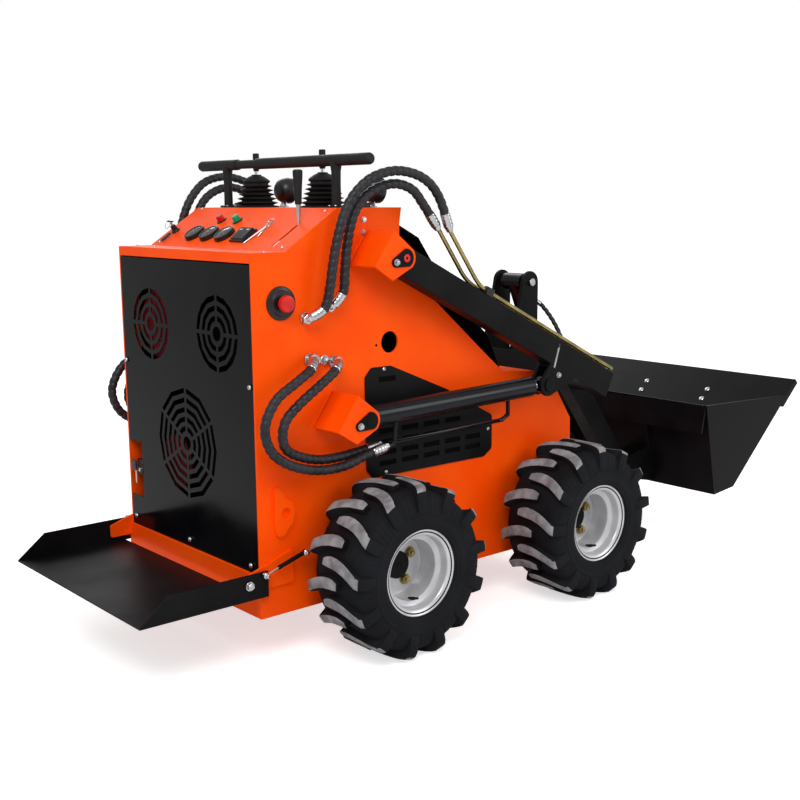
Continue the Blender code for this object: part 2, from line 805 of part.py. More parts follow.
def rear_panel():
    top = side_point("rear_top")[1] - STRIP_DROP - PANEL_TOP_GAP
    mesh = bmesh.new()
    box(mesh, (0, -INNER_Y, PANEL_BOTTOM), (SHEET_THICKNESS, INNER_Y, top))
    item = place("rear_panel", mesh, black())
    notch = bmesh.new()
    box(notch, (-OVERRUN, INNER_Y - NOTCH_WIDTH, NOTCH_Z),
        (SHEET_THICKNESS + OVERRUN, INNER_Y + OVERRUN, NOTCH_Z + NOTCH_HEIGHT))
    cut(item, notch)
    slots = bmesh.new()
    for (y_share, z_share), rings, spokes in GRILLE_SHARES:
        middle = (SIDE_Y * y_share, BODY_BOTTOM + BODY_HEIGHT * z_share)
        start = (-OVERRUN, *middle)
        cylinder(slots, start, (1, 0, 0), GRILLE_HOLE_RADIUS, SHEET_THICKNESS + 2 * OVERRUN, SMALL_STEPS)
        for ring in range(rings):
            inner = GRILLE_FIRST_RADIUS + GRILLE_PITCH * ring
            for spoke in range(spokes):
                middle_turn = 90 + 360 * (spoke + 0.5) / spokes
                prism(slots, ring_slot(middle, inner, middle_turn, 360 / spokes), -OVERRUN,
                      SHEET_THICKNESS + OVERRUN, "X")
    cut(item, slots)
    return item


def ring_slot(middle, inner, middle_turn, sweep):
    """Outline of one curved slot between two spokes of a grille."""
    outer = inner + GRILLE_SLOT_WIDTH
    outline = []
    for radius, way in ((inner, 1), (outer, -1)):
        half = sweep / 2 - math.degrees(GRILLE_SPOKE_WIDTH / 2 / radius)
        steps = max(2, round(2 * half / GRILLE_ARC_DEGREES))
        outline += arc(middle, radius, middle_turn - half * way, middle_turn + half * way, steps)
    return outline


def hood():
    neck = side_point("neck_top")
    knee = side_point("slope_knee")
    low = side_point("slope_low")
    rear = side_point("deck_rear")
    start = (neck[0] + SHEET_THICKNESS, neck[1])
    path = [(rear[0] - SHEET_THICKNESS, rear[1] + SHEET_THICKNESS)]
    path += [(low[0] + HOOD_RISE, low[1] + HOOD_RISE), (knee[0] + HOOD_RISE, knee[1] + HOOD_RISE)]
    path += [(start[0] + HOOD_RISE * 2, start[1] - HOOD_RISE), start]
    mesh = bmesh.new()
    prism(mesh, sheet(path, SHEET_THICKNESS), -INNER_Y, INNER_Y)
    return place("hood", mesh, black())


def engine_block():
    floor = BODY_BOTTOM + SIDE_THICKNESS + SEAT_GAP
    mesh = bmesh.new()
    box(mesh, (ENGINE_X, -ENGINE_WIDTH / 2, floor),
        (ENGINE_X + ENGINE_LENGTH, ENGINE_WIDTH / 2, floor + ENGINE_HEIGHT))
    return place("engine_block", mesh, black())


def wheel_motor(name, side, axle_x):
    inner = SIDE_Y + SEAT_GAP
    half = MOTOR_PLATE / 2
    low, high = span(side, inner, inner + MOTOR_PLATE_THICKNESS)
    mesh = bmesh.new()
    box(mesh, (axle_x - half, low, TYRE_RADIUS - half), (axle_x + half, high, TYRE_RADIUS + half))
    item = place(name, mesh, black())
    housing_end = WHEEL_Y - DISC_SETBACK - DISC_THICKNESS - MOTOR_CLEARANCE
    hub_end = WHEEL_Y - DISC_SETBACK + HUB_STAND
    profile = ((0, inner), (MOTOR_RADIUS, inner), (MOTOR_RADIUS, housing_end))
    profile += ((HUB_RADIUS, housing_end), (HUB_RADIUS, hub_end), (0, hub_end))
    body = bmesh.new()
    lathe(body, profile, (axle_x, 0, TYRE_RADIUS), (0, side, 0), closed=False)
    join(item, body)
    return item


def work_lamp(side):
    front_x = side_point("top_front")[0]
    lamp_x = front_x + LAMP_REACH
    lamp_z = BODY_TOP + LAMP_RISE
    middle_y = side * SIDE_Y * LAMP_Y_SHARE
    mesh = bmesh.new()
    cylinder(mesh, (lamp_x, middle_y, lamp_z), (1, 0, 0), LAMP_RADIUS, LAMP_DEPTH)
    item = place("work_lamp_" + side_name(side), mesh, black())
    low = BODY_TOP + SEAT_GAP
    foot = front_x - 2 * LAMP_STEM_RADIUS - SHEET_THICKNESS
    front = lamp_x + LAMP_DEPTH / 2
    rear = front - LAMP_STEM_RADIUS
    outline = [(foot, low), (front, low), (front, lamp_z), (rear, lamp_z)]
    outline += [(rear, low + LAMP_STEM_RADIUS), (foot, low + LAMP_STEM_RADIUS)]
    stem = bmesh.new()
    prism(stem, outline, middle_y - LAMP_STEM_RADIUS, middle_y + LAMP_STEM_RADIUS)
    join(item, stem)
    return item


def control_lever(side):
    """A pleated boot with the control lever that stands in it."""
    profile = [(0, 0), (BOOT_RADIUS, 0)]
    for pleat in range(BOOT_PLEATS):
        radius = BOOT_RADIUS * (1 - BOOT_TAPER_SHARE * (pleat + 0.5) / BOOT_PLEATS)
        pitch = BOOT_HEIGHT / BOOT_PLEATS
        profile.append((radius - PLEAT_DEPTH, pitch * (pleat + 0.5)))
        profile.append((radius, pitch * (pleat + 1)))
    top = LEVER_RISE - SEAT_GAP
    profile += [(LEVER_RADIUS, BOOT_HEIGHT + PLEAT_DEPTH), (LEVER_RADIUS, top), (0, top)]
    centre = (side_point("top_front")[0] - BOOT_BACK, side * SIDE_Y * BOOT_Y_SHARE, BODY_TOP + SEAT_GAP)
    mesh = bmesh.new()
    lathe(mesh, profile, centre, (0, 0, 1), SMALL_STEPS, closed=False)
    return place("control_lever_" + side_name(side), mesh, rubber())


def hand_bar():
    bar_x = side_point("top_front")[0] - BAR_BACK
    bar_z = BODY_TOP + BAR_RISE
    foot = BODY_TOP + SEAT_GAP
    half = SIDE_Y + BAR_OVERHANG
    mesh = bmesh.new()
    cylinder(mesh, (bar_x, -half, bar_z), (0, 1, 0), BAR_RADIUS, 2 * half, SMALL_STEPS)
    item = place("hand_bar", mesh, black())
    legs = bmesh.new()
    for side in (-1, 1):
        leg_y = side * SIDE_Y * BAR_LEG_Y_SHARE
        cylinder(legs, (bar_x, leg_y, foot), (0, 0, 1), BAR_LEG_RADIUS, bar_z - foot, SMALL_STEPS)
    join(item, legs)
    return item


def bracket(name, side, pin_at, pin_radius):
    """A folded plate welded to the side plate, with the pin that it carries."""
    pin_x, pin_z = pin_at
    fold = unit(BRACKET_FOLD_DEGREES)
    foot = (pin_x - BRACKET_PIN_BACK, pin_z - BRACKET_PIN_RISE)
    head = along(foot, fold, BRACKET_FOLD_LENGTH)
    tip = (pin_x - BRACKET_TIP_BACK, pin_z - BRACKET_TIP_DROP)
    outline = [foot, tip]
    outline += arc((pin_x, pin_z), BRACKET_END_RADIUS, *BRACKET_ARC_DEGREES)
    outline += [head]
    mesh = bmesh.new()
    low, high = span(side, BRACKET_Y - BRACKET_THICKNESS, BRACKET_Y)
    prism(mesh, outline, low, high)
    item = place(name, mesh, orange())
    web = bmesh.new()
    across = (fold[1], -fold[0])
    inner_foot = along(foot, across, BRACKET_THICKNESS)
    inner_head = along(head, across, BRACKET_THICKNESS)
    low, high = span(side, SIDE_Y + SEAT_GAP, BRACKET_Y - BRACKET_THICKNESS / 2)
    prism(web, [foot, inner_foot, inner_head, head], low, high)
    join(item, web)
    pin = bmesh.new()
    start = SIDE_Y + SEAT_GAP
    cylinder(pin, (pin_x, side * start, pin_z), (0, side, 0), pin_radius,
             BRACKET_Y + BRACKET_THICKNESS - start)
    join(item, pin)
    tail = (pin_x - RETAINER_TAIL_BACK, pin_z - RETAINER_TAIL_DROP)
    back, _ = heading((pin_x, pin_z), tail)
    turn = math.degrees(math.atan2(back[1], back[0]))
    outline = arc((pin_x, pin_z), RETAINER_RADIUS, turn + RETAINER_HEAD_DEGREES,
                  turn + 360 - RETAINER_HEAD_DEGREES)
    outline += arc(tail, RETAINER_TAIL_RADIUS, turn - RETAINER_TAIL_DEGREES, turn + RETAINER_TAIL_DEGREES)
    retainer = bmesh.new()
    low, high = span(side, BRACKET_Y - BRACKET_THICKNESS / 2, BRACKET_Y + RETAINER_THICKNESS)
    prism(retainer, outline, low, high)
    join(item, retainer)
    return item


# Wheels

def rim(name, side, axle_x):
    """A drop-centre rim: seats for both beads, a well between them and a disc in the well."""
    half = RIM_WIDTH / 2
    seat_end = half - RIM_FLANGE - RIM_SEAT_WIDTH
    well_end = seat_end - RIM_WELL_SLOPE
    bore = HUB_RADIUS + PIN_CLEARANCE
    back = -DISC_SETBACK - DISC_THICKNESS
    outside = [(RIM_FLANGE_RADIUS, half), (RIM_FLANGE_RADIUS, half - RIM_FLANGE)]
    outside += [(RIM_SEAT_RADIUS, half - RIM_FLANGE), (RIM_SEAT_RADIUS, seat_end)]
    outside += [(RIM_WELL_RADIUS, well_end)]
    profile = outside + [(radius, -place) for radius, place in reversed(outside)]
    inside = [(RIM_SEAT_RADIUS - RIM_WALL, half), (RIM_SEAT_RADIUS - RIM_WALL, seat_end)]
    inside += [(RIM_WELL_RADIUS - RIM_WALL, well_end)]
    profile += [(radius, -place) for radius, place in inside]
    well = RIM_WELL_RADIUS - RIM_WALL
    profile += [(well, back), (bore, back), (bore, -DISC_SETBACK), (well, -DISC_SETBACK)]
    profile += reversed(inside)
    mesh = bmesh.new()
    centre = (axle_x, side * WHEEL_Y, TYRE_RADIUS)
    lathe(mesh, profile, centre, (0, side, 0), RIM_STEPS)
    return place(name, mesh, silver(), centre)


def tyre_section():
    """The tyre's section from bead to bead as (distance from its middle plane, radius)."""
    facet = math.pi / (COLUMNS_PER_LUG * LUG_COUNT)
    bore = (RIM_SEAT_RADIUS + SEAT_GAP) / math.cos(facet)
    height = TYRE_RADIUS - LUG_HEIGHT - bore
    half = TYRE_WIDTH / 2
    points = []
    for width_share, height_share in TYRE_SHARES:
        points.append((-half * width_share, bore + height * height_share))
    mirrored = [(-across, radius) for across, radius in reversed(points)]
    return points + mirrored


def tyre(name, side, axle_x):
    """A lugged tyre: rings of faces, with slanted runs of the tread's faces raised."""
    section = tyre_section()
    columns = COLUMNS_PER_LUG * LUG_COUNT
    pitch = 2 * math.pi / LUG_COUNT
    centre = Vector((axle_x, side * WHEEL_Y, TYRE_RADIUS))
    mesh = bmesh.new()
    grid = []
    for across, radius in section:
        reach = abs(across) / (TYRE_WIDTH / 2)
        lead = pitch * LUG_SKEW_SHARE * reach * reach
        ring = []
        for column in range(columns):
            turn = pitch * column / COLUMNS_PER_LUG + lead
            offset = Vector((radius * math.cos(turn), across, radius * math.sin(turn)))
            ring.append(mesh.verts.new(centre + offset))
        grid.append(ring)
    rows = len(section)
    faces = {}
    for row in range(rows):
        following_row = (row + 1) % rows
        for column in range(columns):
            following = (column + 1) % columns
            quad = (grid[row][column], grid[row][following],
                    grid[following_row][following], grid[following_row][column])
            faces[row, column] = mesh.faces.new(quad)
    bmesh.ops.recalc_face_normals(mesh, faces=mesh.faces)
    middle_row = len(TYRE_SHARES) - 1
    for column in range(0, columns, 2):
        if column % COLUMNS_PER_LUG == 0:
            lug_rows = range(LUG_FIRST_ROW, middle_row + 1)
        else:
            lug_rows = range(middle_row, rows - 1 - LUG_FIRST_ROW)
        raise_lug(mesh, [faces[row, column] for row in lug_rows], centre)
    stand_on_lug(mesh, centre)
    return place(name, mesh, rubber(), centre)


def polar(point, centre):
    """A point's angle round the wheel's axis and its radius."""
    offset = point - centre
    return math.atan2(offset.z, offset.x), math.hypot(offset.x, offset.z)


def raise_lug(mesh, faces, centre):
    """Lifts one run of faces to the tread's radius and draws its sides in."""
    grown = bmesh.ops.extrude_face_region(mesh, geom=faces)["geom"]
    bmesh.ops.delete(mesh, geom=faces, context="FACES")
    points = [item for item in grown if isinstance(item, bmesh.types.BMVert)]
    middle = Vector()
    for point in points:
        middle += point.co / len(points)
    middle_turn, _ = polar(middle, centre)
    for point in points:
        turn, radius = polar(point.co, centre)
        swing = math.remainder(turn - middle_turn, 2 * math.pi)
        turn -= swing * LUG_TAPER_SHARE
        radius = min(radius + LUG_HEIGHT, TYRE_RADIUS)
        point.co.x = centre.x + radius * math.cos(turn)
        point.co.z = centre.z + radius * math.sin(turn)


def stand_on_lug(mesh, centre):
    """Turns the tyre until a corner of a lug is straight below its axle."""
    lowest = min(mesh.verts, key=lambda point: point.co.z)
    turn, _ = polar(lowest.co, centre)
    rest = Matrix.Rotation(turn + math.pi / 2, 3, "Y")
    bmesh.ops.rotate(mesh, cent=centre, matrix=rest, verts=mesh.verts)


# Boom

ARM_ALONG, ARM_LENGTH = heading(ARM_PIN, ARM_END)
ARM_UP = (-ARM_ALONG[1], ARM_ALONG[0])
ARM_SLOPE_DEGREES = math.degrees(math.atan2(ARM_ALONG[1], ARM_ALONG[0]))
BEAM_PLACE = ARM_LENGTH - BEAM_BACK


def arm_point(distance, rise):
    """A point at a distance along the arm from its pin and above its centre line."""
    return along(along(ARM_PIN, ARM_ALONG, distance), ARM_UP, rise)


def arm(side):
    half = ARM_DEPTH / 2
    outline = [arm_point(ARM_LENGTH, half), arm_point(0, half)]
    outline += arc(ARM_PIN, half, ARM_SLOPE_DEGREES + 90, ARM_SLOPE_DEGREES + 270, 2 * ARC_STEPS)[1:]
    seam = heading(ARM_PIN, ROD_PIN)[1] - LOBE_REAR
    outline += [arm_point(seam, -half)]
    outline += arc(ROD_PIN, LOBE_RADIUS, *LOBE_ARC_DEGREES, 2 * ARC_STEPS)
    outline += [ELBOW, arm_point(ARM_LENGTH, half - ELBOW_FRONT_DEPTH)]
    low, high = span(side, ARM_Y - ARM_WIDTH / 2, ARM_Y + ARM_WIDTH / 2)
    mesh = bmesh.new()
    prism(mesh, outline, low, high)
    pivot = (ARM_PIN[0], side * ARM_Y, ARM_PIN[1])
    item = place("arm_" + side_name(side), mesh, black(), pivot)
    holes = bmesh.new()
    cylinder(holes, (ARM_PIN[0], low - OVERRUN, ARM_PIN[1]), (0, 1, 0), ARM_PIN_RADIUS + PIN_CLEARANCE,
             ARM_WIDTH + 2 * OVERRUN)
    slot_low, slot_high = span(side, ARM_Y - FORK_GAP / 2, ARM_Y + FORK_GAP / 2)
    slot_top = ROD_PIN[1] + LOBE_RADIUS + OVERRUN
    box(holes, (ROD_PIN[0] - FORK_SLOT_LENGTH, slot_low, ROD_PIN[1] - 2 * LOBE_RADIUS),
        (ROD_PIN[0] + LOBE_RADIUS + OVERRUN, slot_high, slot_top))
    cut(item, holes)
    return item


def boom_beam():
    """The beam between the arms, with the two legs and the tower welded to it."""
    half = ARM_DEPTH / 2
    rear = BEAM_PLACE - BEAM_LENGTH / 2
    front = BEAM_PLACE + BEAM_LENGTH / 2
    outline = [arm_point(rear, -half), arm_point(front, -half), arm_point(front, half), arm_point(rear, half)]
    reach = ARM_Y - ARM_WIDTH / 2 - SEAT_GAP
    mesh = bmesh.new()
    prism(mesh, outline, -reach, reach)
    item = place("boom_beam", mesh, black(), (ARM_PIN[0], 0, ARM_PIN[1]))
    root = arm_point(BEAM_PLACE, 0)
    fall, _ = heading(root, TILT_PIVOT)
    side_on = (-fall[1], fall[0])
    turn = math.degrees(math.atan2(side_on[1], side_on[0]))
    leg = [along(root, side_on, LEG_DEPTH / 2), along(root, side_on, -LEG_DEPTH / 2)]
    leg += arc(TILT_PIVOT, LEG_DEPTH / 2, turn - 180, turn, 2 * ARC_STEPS)
    rise = TOWER_RADIUS
    tower = [along(root, ARM_ALONG, -BEAM_LENGTH / 4), arm_point(front - SEAT_GAP, -half / 2)]
    tower += [(TOWER_PIN[0] + rise, arm_point(front, half)[1])]
    tower += arc(TOWER_PIN, rise, 0, 180, 2 * ARC_STEPS)
    for side in (-1, 1):
        addition = bmesh.new()
        low, high = span(side, LEG_Y - LEG_WIDTH / 2, LEG_Y + LEG_WIDTH / 2)
        prism(addition, leg, low, high)
        low, high = span(side, TOWER_Y - TOWER_THICKNESS / 2, TOWER_Y + TOWER_THICKNESS / 2)
        prism(addition, tower, low, high)
        join(item, addition)
        pins = bmesh.new()
        outer = EAR_OUTER + EAR_THICKNESS
        inner = 2 * LEG_Y - outer
        cylinder(pins, (TILT_PIVOT[0], side * inner, TILT_PIVOT[1]), (0, side, 0), TILT_PIN_RADIUS,
                 outer - inner)
        join(item, pins)
    pin = bmesh.new()
    length = 2 * (TOWER_Y + TOWER_THICKNESS)
    cylinder(pin, (TOWER_PIN[0], -length / 2, TOWER_PIN[1]), (0, 1, 0), TOWER_PIN_RADIUS, length)
    join(item, pin)
    return item


# Quick attach plate and bucket

BACK_TOP = bucket_point(*BUCKET_SHARES[0])
BACK_FOOT = bucket_point(*BUCKET_SHARES[1])
BACK_UP, BACK_LENGTH = heading(BACK_FOOT, BACK_TOP)
BACK_OUT = (-BACK_UP[1], BACK_UP[0])
EAR_OUTER = LEG_Y + LEG_WIDTH / 2 + EAR_GAP
ATTACH_PIVOT = (TILT_PIVOT[0], 0, TILT_PIVOT[1])
ATTACH_HALF_WIDTH = EAR_OUTER + EAR_THICKNESS


def back_point(rise, out):
    """A point up the bucket's back from its foot, and out behind it."""
    return along(along(BACK_FOOT, BACK_UP, rise), BACK_OUT, out)


def ear_outline(pin, radius, low_rise, high_rise):
    """A plate that runs from the attach plate's rear face round a pin."""
    base = ATTACH_THICKNESS / 2 + SEAT_GAP
    low = back_point(low_rise, base)
    high = back_point(high_rise, base)
    turn = math.degrees(math.atan2(BACK_UP[1], BACK_UP[0]))
    return [low, high] + arc(pin, radius, turn, turn + 180, 2 * ARC_STEPS)


def attach_plate():
    half = ATTACH_HALF_WIDTH
    inner = SEAT_GAP
    outer = inner + ATTACH_THICKNESS
    outline = [back_point(ATTACH_BOTTOM, inner), back_point(ATTACH_TOP, inner)]
    outline += [back_point(ATTACH_TOP, outer), back_point(ATTACH_BOTTOM, outer)]
    mesh = bmesh.new()
    prism(mesh, outline, -half, half)
    item = place("attach_plate", mesh, black(), ATTACH_PIVOT)
    ear = ear_outline(TILT_PIVOT, EAR_RADIUS, ATTACH_BOTTOM, EAR_TOP_ON_PLATE)
    lug = ear_outline(TILT_ROD_PIN, TILT_LUG_RADIUS, LUG_FOOT, LUG_TOP)
    for side in (-1, 1):
        addition = bmesh.new()
        inner_ear = 2 * LEG_Y - EAR_OUTER
        for distance in (EAR_OUTER, inner_ear - EAR_THICKNESS):
            low, high = span(side, distance, distance + EAR_THICKNESS)
            prism(addition, ear, low, high)
        start = TILT_ROD_EYE_WIDTH / 2 + LUG_GAP
        low, high = span(side, start, start + LUG_THICKNESS)
        prism(addition, lug, low, high)
        join(item, addition)
    holes = bmesh.new()
    cylinder(holes, (TILT_PIVOT[0], -half - OVERRUN, TILT_PIVOT[1]), (0, 1, 0),
             TILT_PIN_RADIUS + PIN_CLEARANCE, 2 * (half + OVERRUN))
    cut(item, holes)
    return item


def bucket():
    half = BUCKET_WIDTH / 2
    outline = [bucket_point(*share) for share in BUCKET_SHARES]
    mesh = bmesh.new()
    prism(mesh, outline, -half, half)
    item = place("bucket", mesh, black(), ATTACH_PIVOT)
    wall = BUCKET_SHELL_THICKNESS
    path = [outline[0], outline[1], outline[2], outline[3]]
    strip = sheet(path, wall)
    inner = strip[4:][::-1]
    lid = [(inner[3][0] + OVERRUN, inner[3][1] + 2 * wall), (inner[0][0], inner[0][1] + 2 * wall)]
    hollow = bmesh.new()
    prism(hollow, inner + lid, -half + BUCKET_SIDE_THICKNESS, half - BUCKET_SIDE_THICKNESS)
    cut(item, hollow)
    blade = bmesh.new()
    prism(blade, blade_outline(), -half, half)
    join(item, blade)
    hook = bmesh.new()
    path = [back_point(BACK_LENGTH - HOOK_DROP, HOOK_OUT), back_point(BACK_LENGTH - wall, -wall / 2)]
    reach = half - BUCKET_SIDE_THICKNESS / 2
    prism(hook, sheet(path, wall), -reach, reach)
    join(item, hook)
    return item


# Cylinders

def cylinder_body(name, start, end, middle_y, sizes, finish):
    """A barrel with an eye at its base and a bore for its rod."""
    barrel_radius, rod_radius, eye_radius, eye_width, gland, bore_start, pin_radius = sizes
    direction, _ = heading(start, end)
    axis = (direction[0], 0, direction[1])
    origin = (start[0], middle_y, start[1])
    bore = rod_radius + PIN_CLEARANCE
    profile = ((0, 0), (barrel_radius, 0), (barrel_radius, gland), (bore, gland))
    profile += ((bore, bore_start), (0, bore_start))
    mesh = bmesh.new()
    lathe(mesh, profile, origin, axis, closed=False)
    item = place(name, mesh, finish, origin)
    eye = bmesh.new()
    cylinder(eye, (start[0], middle_y - eye_width / 2, start[1]), (0, 1, 0), eye_radius, eye_width)
    join(item, eye)
    hole = bmesh.new()
    cylinder(hole, (start[0], middle_y - eye_width, start[1]), (0, 1, 0), pin_radius + PIN_CLEARANCE,
             2 * eye_width)
    cut(item, hole)
    return item


def cylinder_rod(name, start, end, middle_y, sizes, finish):
    """A rod that slides in its barrel, with an eye at its far end."""
    rod_radius, rod_start, eye_radius, eye_width, neck = sizes
    direction, length = heading(start, end)
    axis = (direction[0], 0, direction[1])
    foot = along(start, direction, rod_start)
    mesh = bmesh.new()
    cylinder(mesh, (foot[0], middle_y, foot[1]), axis, rod_radius, length - rod_start - neck)
    item = place(name, mesh, finish, (end[0], middle_y, end[1]))
    link = bmesh.new()
    across = (-direction[1], direction[0])
    root = along(end, direction, -neck - rod_radius / 2)
    half = min(rod_radius, eye_radius)
    outline = [along(root, across, half), along(root, across, -half)]
    outline += [along(end, across, -half), along(end, across, half)]
    prism(link, outline, middle_y - eye_width / 2, middle_y + eye_width / 2)
    join(item, link)
    eye = bmesh.new()
    cylinder(eye, (end[0], middle_y - eye_width / 2, end[1]), (0, 1, 0), eye_radius, eye_width)
    join(item, eye)
    return item


FLANGE_Y = SIDE_Y + SEAT_GAP + EAR_PLATE + PLATFORM_CLEARANCE
STRUT_Y = FLANGE_Y + PLATFORM_SHEET + PLATFORM_CLEARANCE + STRUT_EYE_WIDTH / 2


def lift_line(index):
    """Points of one of the two steel lines under the left lift barrel."""
    out_share, places = LIFT_LINE_SHARES[index]
    gland = heading(LIFT_BASE, ROD_PIN)[1] - LIFT_GLAND_BACK
    points = []
    for along_share, down_share in places:
        points.append(Vector((LIFT_BASE[0] + gland * along_share, ARM_Y + HOSE_RADIUS * out_share,
                              LIFT_BASE[1] + LIFT_BARREL_RADIUS * down_share)))
    return points


def lift_cylinder(side):
    gland = heading(LIFT_BASE, ROD_PIN)[1] - LIFT_GLAND_BACK
    sizes = (LIFT_BARREL_RADIUS, LIFT_ROD_RADIUS, LIFT_EYE_RADIUS, LIFT_EYE_WIDTH,
             gland, LIFT_BORE_START, LIFT_PIN_RADIUS)
    barrel = cylinder_body("lift_barrel_" + side_name(side), LIFT_BASE, ROD_PIN, side * ARM_Y, sizes, black())
    for line in range(len(LIFT_LINE_SHARES)):
        points = [Vector((point.x, side * point.y, point.z)) for point in lift_line(line)]
        for first, last in zip(points, points[1:]):
            stretch = bmesh.new()
            run = (last - first).normalized()
            start = first if first == points[0] else first - run * LIFT_LINE_RADIUS / 2
            cylinder(stretch, start, run, LIFT_LINE_RADIUS, (last - start).length, PIPE_STEPS)
            join(barrel, stretch)
    sizes = (LIFT_ROD_RADIUS, LIFT_ROD_START, LIFT_ROD_EYE_RADIUS, LIFT_ROD_EYE_WIDTH,
             LIFT_ROD_NECK)
    cylinder_rod("lift_rod_" + side_name(side), LIFT_BASE, ROD_PIN, side * ARM_Y, sizes, chrome())


def tilt_cylinder():
    gland = heading(TOWER_PIN, TILT_ROD_PIN)[1] - TILT_GLAND_BACK
    sizes = (TILT_BARREL_RADIUS, TILT_ROD_RADIUS, TILT_EYE_RADIUS, TILT_EYE_WIDTH,
             gland, TILT_BORE_START, TOWER_PIN_RADIUS)
    cylinder_body("tilt_barrel", TOWER_PIN, TILT_ROD_PIN, 0, sizes, black())
    sizes = (TILT_ROD_RADIUS, TILT_ROD_START, TILT_ROD_EYE_RADIUS, TILT_ROD_EYE_WIDTH,
             TILT_ROD_NECK)
    cylinder_rod("tilt_rod", TOWER_PIN, TILT_ROD_PIN, 0, sizes, chrome())


# Rear bar, platform and its struts

def rear_bar():
    half = SIDE_Y + SEAT_GAP + EAR_PLATE
    mesh = bmesh.new()
    box(mesh, (-EAR_PLATE - SEAT_GAP, -half, BAR_BOTTOM), (-SEAT_GAP, half, PANEL_BOTTOM))
    item = place("rear_bar", mesh, orange())
    outline = rounded([(EAR_REAR, EAR_BOTTOM), (EAR_FRONT, EAR_BOTTOM), (EAR_FRONT, EAR_TOP),
                       (EAR_REAR, PANEL_BOTTOM)], EAR_PLATE)
    for side in (-1, 1):
        ears = bmesh.new()
        low, high = span(side, SIDE_Y + SEAT_GAP, half)
        prism(ears, outline, low, high)
        join(item, ears)
        pin = bmesh.new()
        cylinder(pin, (PLATFORM_PIVOT_X, side * (half - EAR_PLATE / 2), PLATFORM_PIVOT_Z), (0, side, 0),
                 PLATFORM_PIN_RADIUS, EAR_PLATE / 2 + 2 * PLATFORM_CLEARANCE + PLATFORM_SHEET)
        join(item, pin)
    return item


def platform():
    inner = FLANGE_Y
    outer = FLANGE_Y + PLATFORM_SHEET
    pivot = (PLATFORM_PIVOT_X, 0, PLATFORM_PIVOT_Z)
    mesh = bmesh.new()
    floor = PLATFORM_FLOOR
    box(mesh, (PLATFORM_REAR, -outer, floor), (PLATFORM_FRONT, outer, floor + PLATFORM_SHEET))
    item = place("platform", mesh, black(), pivot)
    outline = [(PLATFORM_REAR, floor), (FLANGE_FRONT, floor), (FLANGE_FRONT, PLATFORM_TOP)]
    outline += [(PLATFORM_REAR + FLANGE_SLOPE, PLATFORM_TOP), (PLATFORM_REAR, floor + PLATFORM_SHEET)]
    for side in (-1, 1):
        low, high = span(side, inner, outer)
        flange = bmesh.new()
        prism(flange, outline, low, high)
        join(item, flange)
        stud = bmesh.new()
        cylinder(stud, (STRUT_END_X, side * (outer - PLATFORM_SHEET / 2), STRUT_END_Z), (0, side, 0),
                 STRUT_PIN_RADIUS, PLATFORM_CLEARANCE + PLATFORM_SHEET / 2 - PIN_CLEARANCE, SMALL_STEPS)
        join(item, stud)
    hole = bmesh.new()
    cylinder(hole, (PLATFORM_PIVOT_X, -outer - OVERRUN, PLATFORM_PIVOT_Z), (0, 1, 0),
             PLATFORM_PIN_RADIUS + PIN_CLEARANCE, 2 * (outer + OVERRUN))
    cut(item, hole)
    return item


def strut(side):
    sizes = (STRUT_BARREL_RADIUS, STRUT_ROD_RADIUS, STRUT_EYE_RADIUS, STRUT_EYE_WIDTH,
             STRUT_GLAND_PLACE, STRUT_BORE_START, STRUT_PIN_RADIUS)
    cylinder_body("strut_barrel_" + side_name(side), STRUT_BASE, STRUT_END, side * STRUT_Y, sizes, black())
    sizes = (STRUT_ROD_RADIUS, STRUT_ROD_START, STRUT_EYE_RADIUS, STRUT_EYE_WIDTH, STRUT_ROD_NECK)
    cylinder_rod("strut_rod_" + side_name(side), STRUT_BASE, STRUT_END, side * STRUT_Y, sizes, chrome())


# Hoses and pipes

# Place of each bulkhead fitting and the points that its hose passes, as shares of the hoses'
# span: x and z from the arm's pin, and in the middle the distance out from the side plate
BOOM_HOSE_SHARES = (
    ("boom_hose_front", (-0.498, -0.331), (
        (-0.426, 0.106, -0.231), (-0.412, 0.111, -0.097), (-0.384, 0.111, 0.114),
        (-0.329, 0.117, 0.309), (-0.238, 0.129, 0.434), (-0.109, 0.143, 0.506),
        (0.042, 0.154, 0.529), (0.188, 0.160, 0.486), (0.291, 0.158, 0.385),
    )),
    ("boom_hose_rear", (-0.698, -0.406), (
        (-0.595, 0.111, -0.334), (-0.561, 0.129, -0.197), (-0.538, 0.134, -0.054),
        (-0.501, 0.140, 0.123), (-0.429, 0.146, 0.331), (-0.332, 0.160, 0.474),
        (-0.189, 0.186, 0.580), (0.019, 0.209, 0.620), (0.245, 0.217, 0.569),
        (0.391, 0.223, 0.437),
    )),
)
# The same for the cylinder's hoses, with the steel line that each one ends at
CYLINDER_HOSE_SHARES = (
    ("cylinder_hose_low", (-0.669, -0.703), 1, (
        (-0.755, 0.140, -0.763), (-0.895, 0.169, -0.831), (-1.075, 0.174, -0.940),
        (-1.169, 0.174, -1.117), (-1.126, 0.174, -1.283), (-1.004, 0.177, -1.389),
        (-0.846, 0.186, -1.454), (-0.675, 0.197, -1.483), (-0.489, 0.204, -1.474),
        (-0.318, 0.204, -1.429),
    )),
    ("cylinder_hose_high", (-0.452, -0.737), 0, (
        (-0.546, 0.143, -0.791), (-0.704, 0.174, -0.877), (-0.875, 0.180, -0.980),
        (-0.995, 0.180, -1.083), (-1.028, 0.177, -1.195), (-0.987, 0.166, -1.298),
        (-0.853, 0.148, -1.371), (-0.689, 0.135, -1.416), (-0.518, 0.131, -1.424),
        (-0.346, 0.134, -1.411),
    )),
)
# The tilt hose's points from the tower's pin, y to the machine's right
TILT_HOSE_SHARES = (
    (0.291, 0.057, -0.231), (0.331, 0.171, -0.369), (0.337, 0.286, -0.540),
    (0.271, 0.414, -0.726), (0.119, 0.514, -0.863),
)


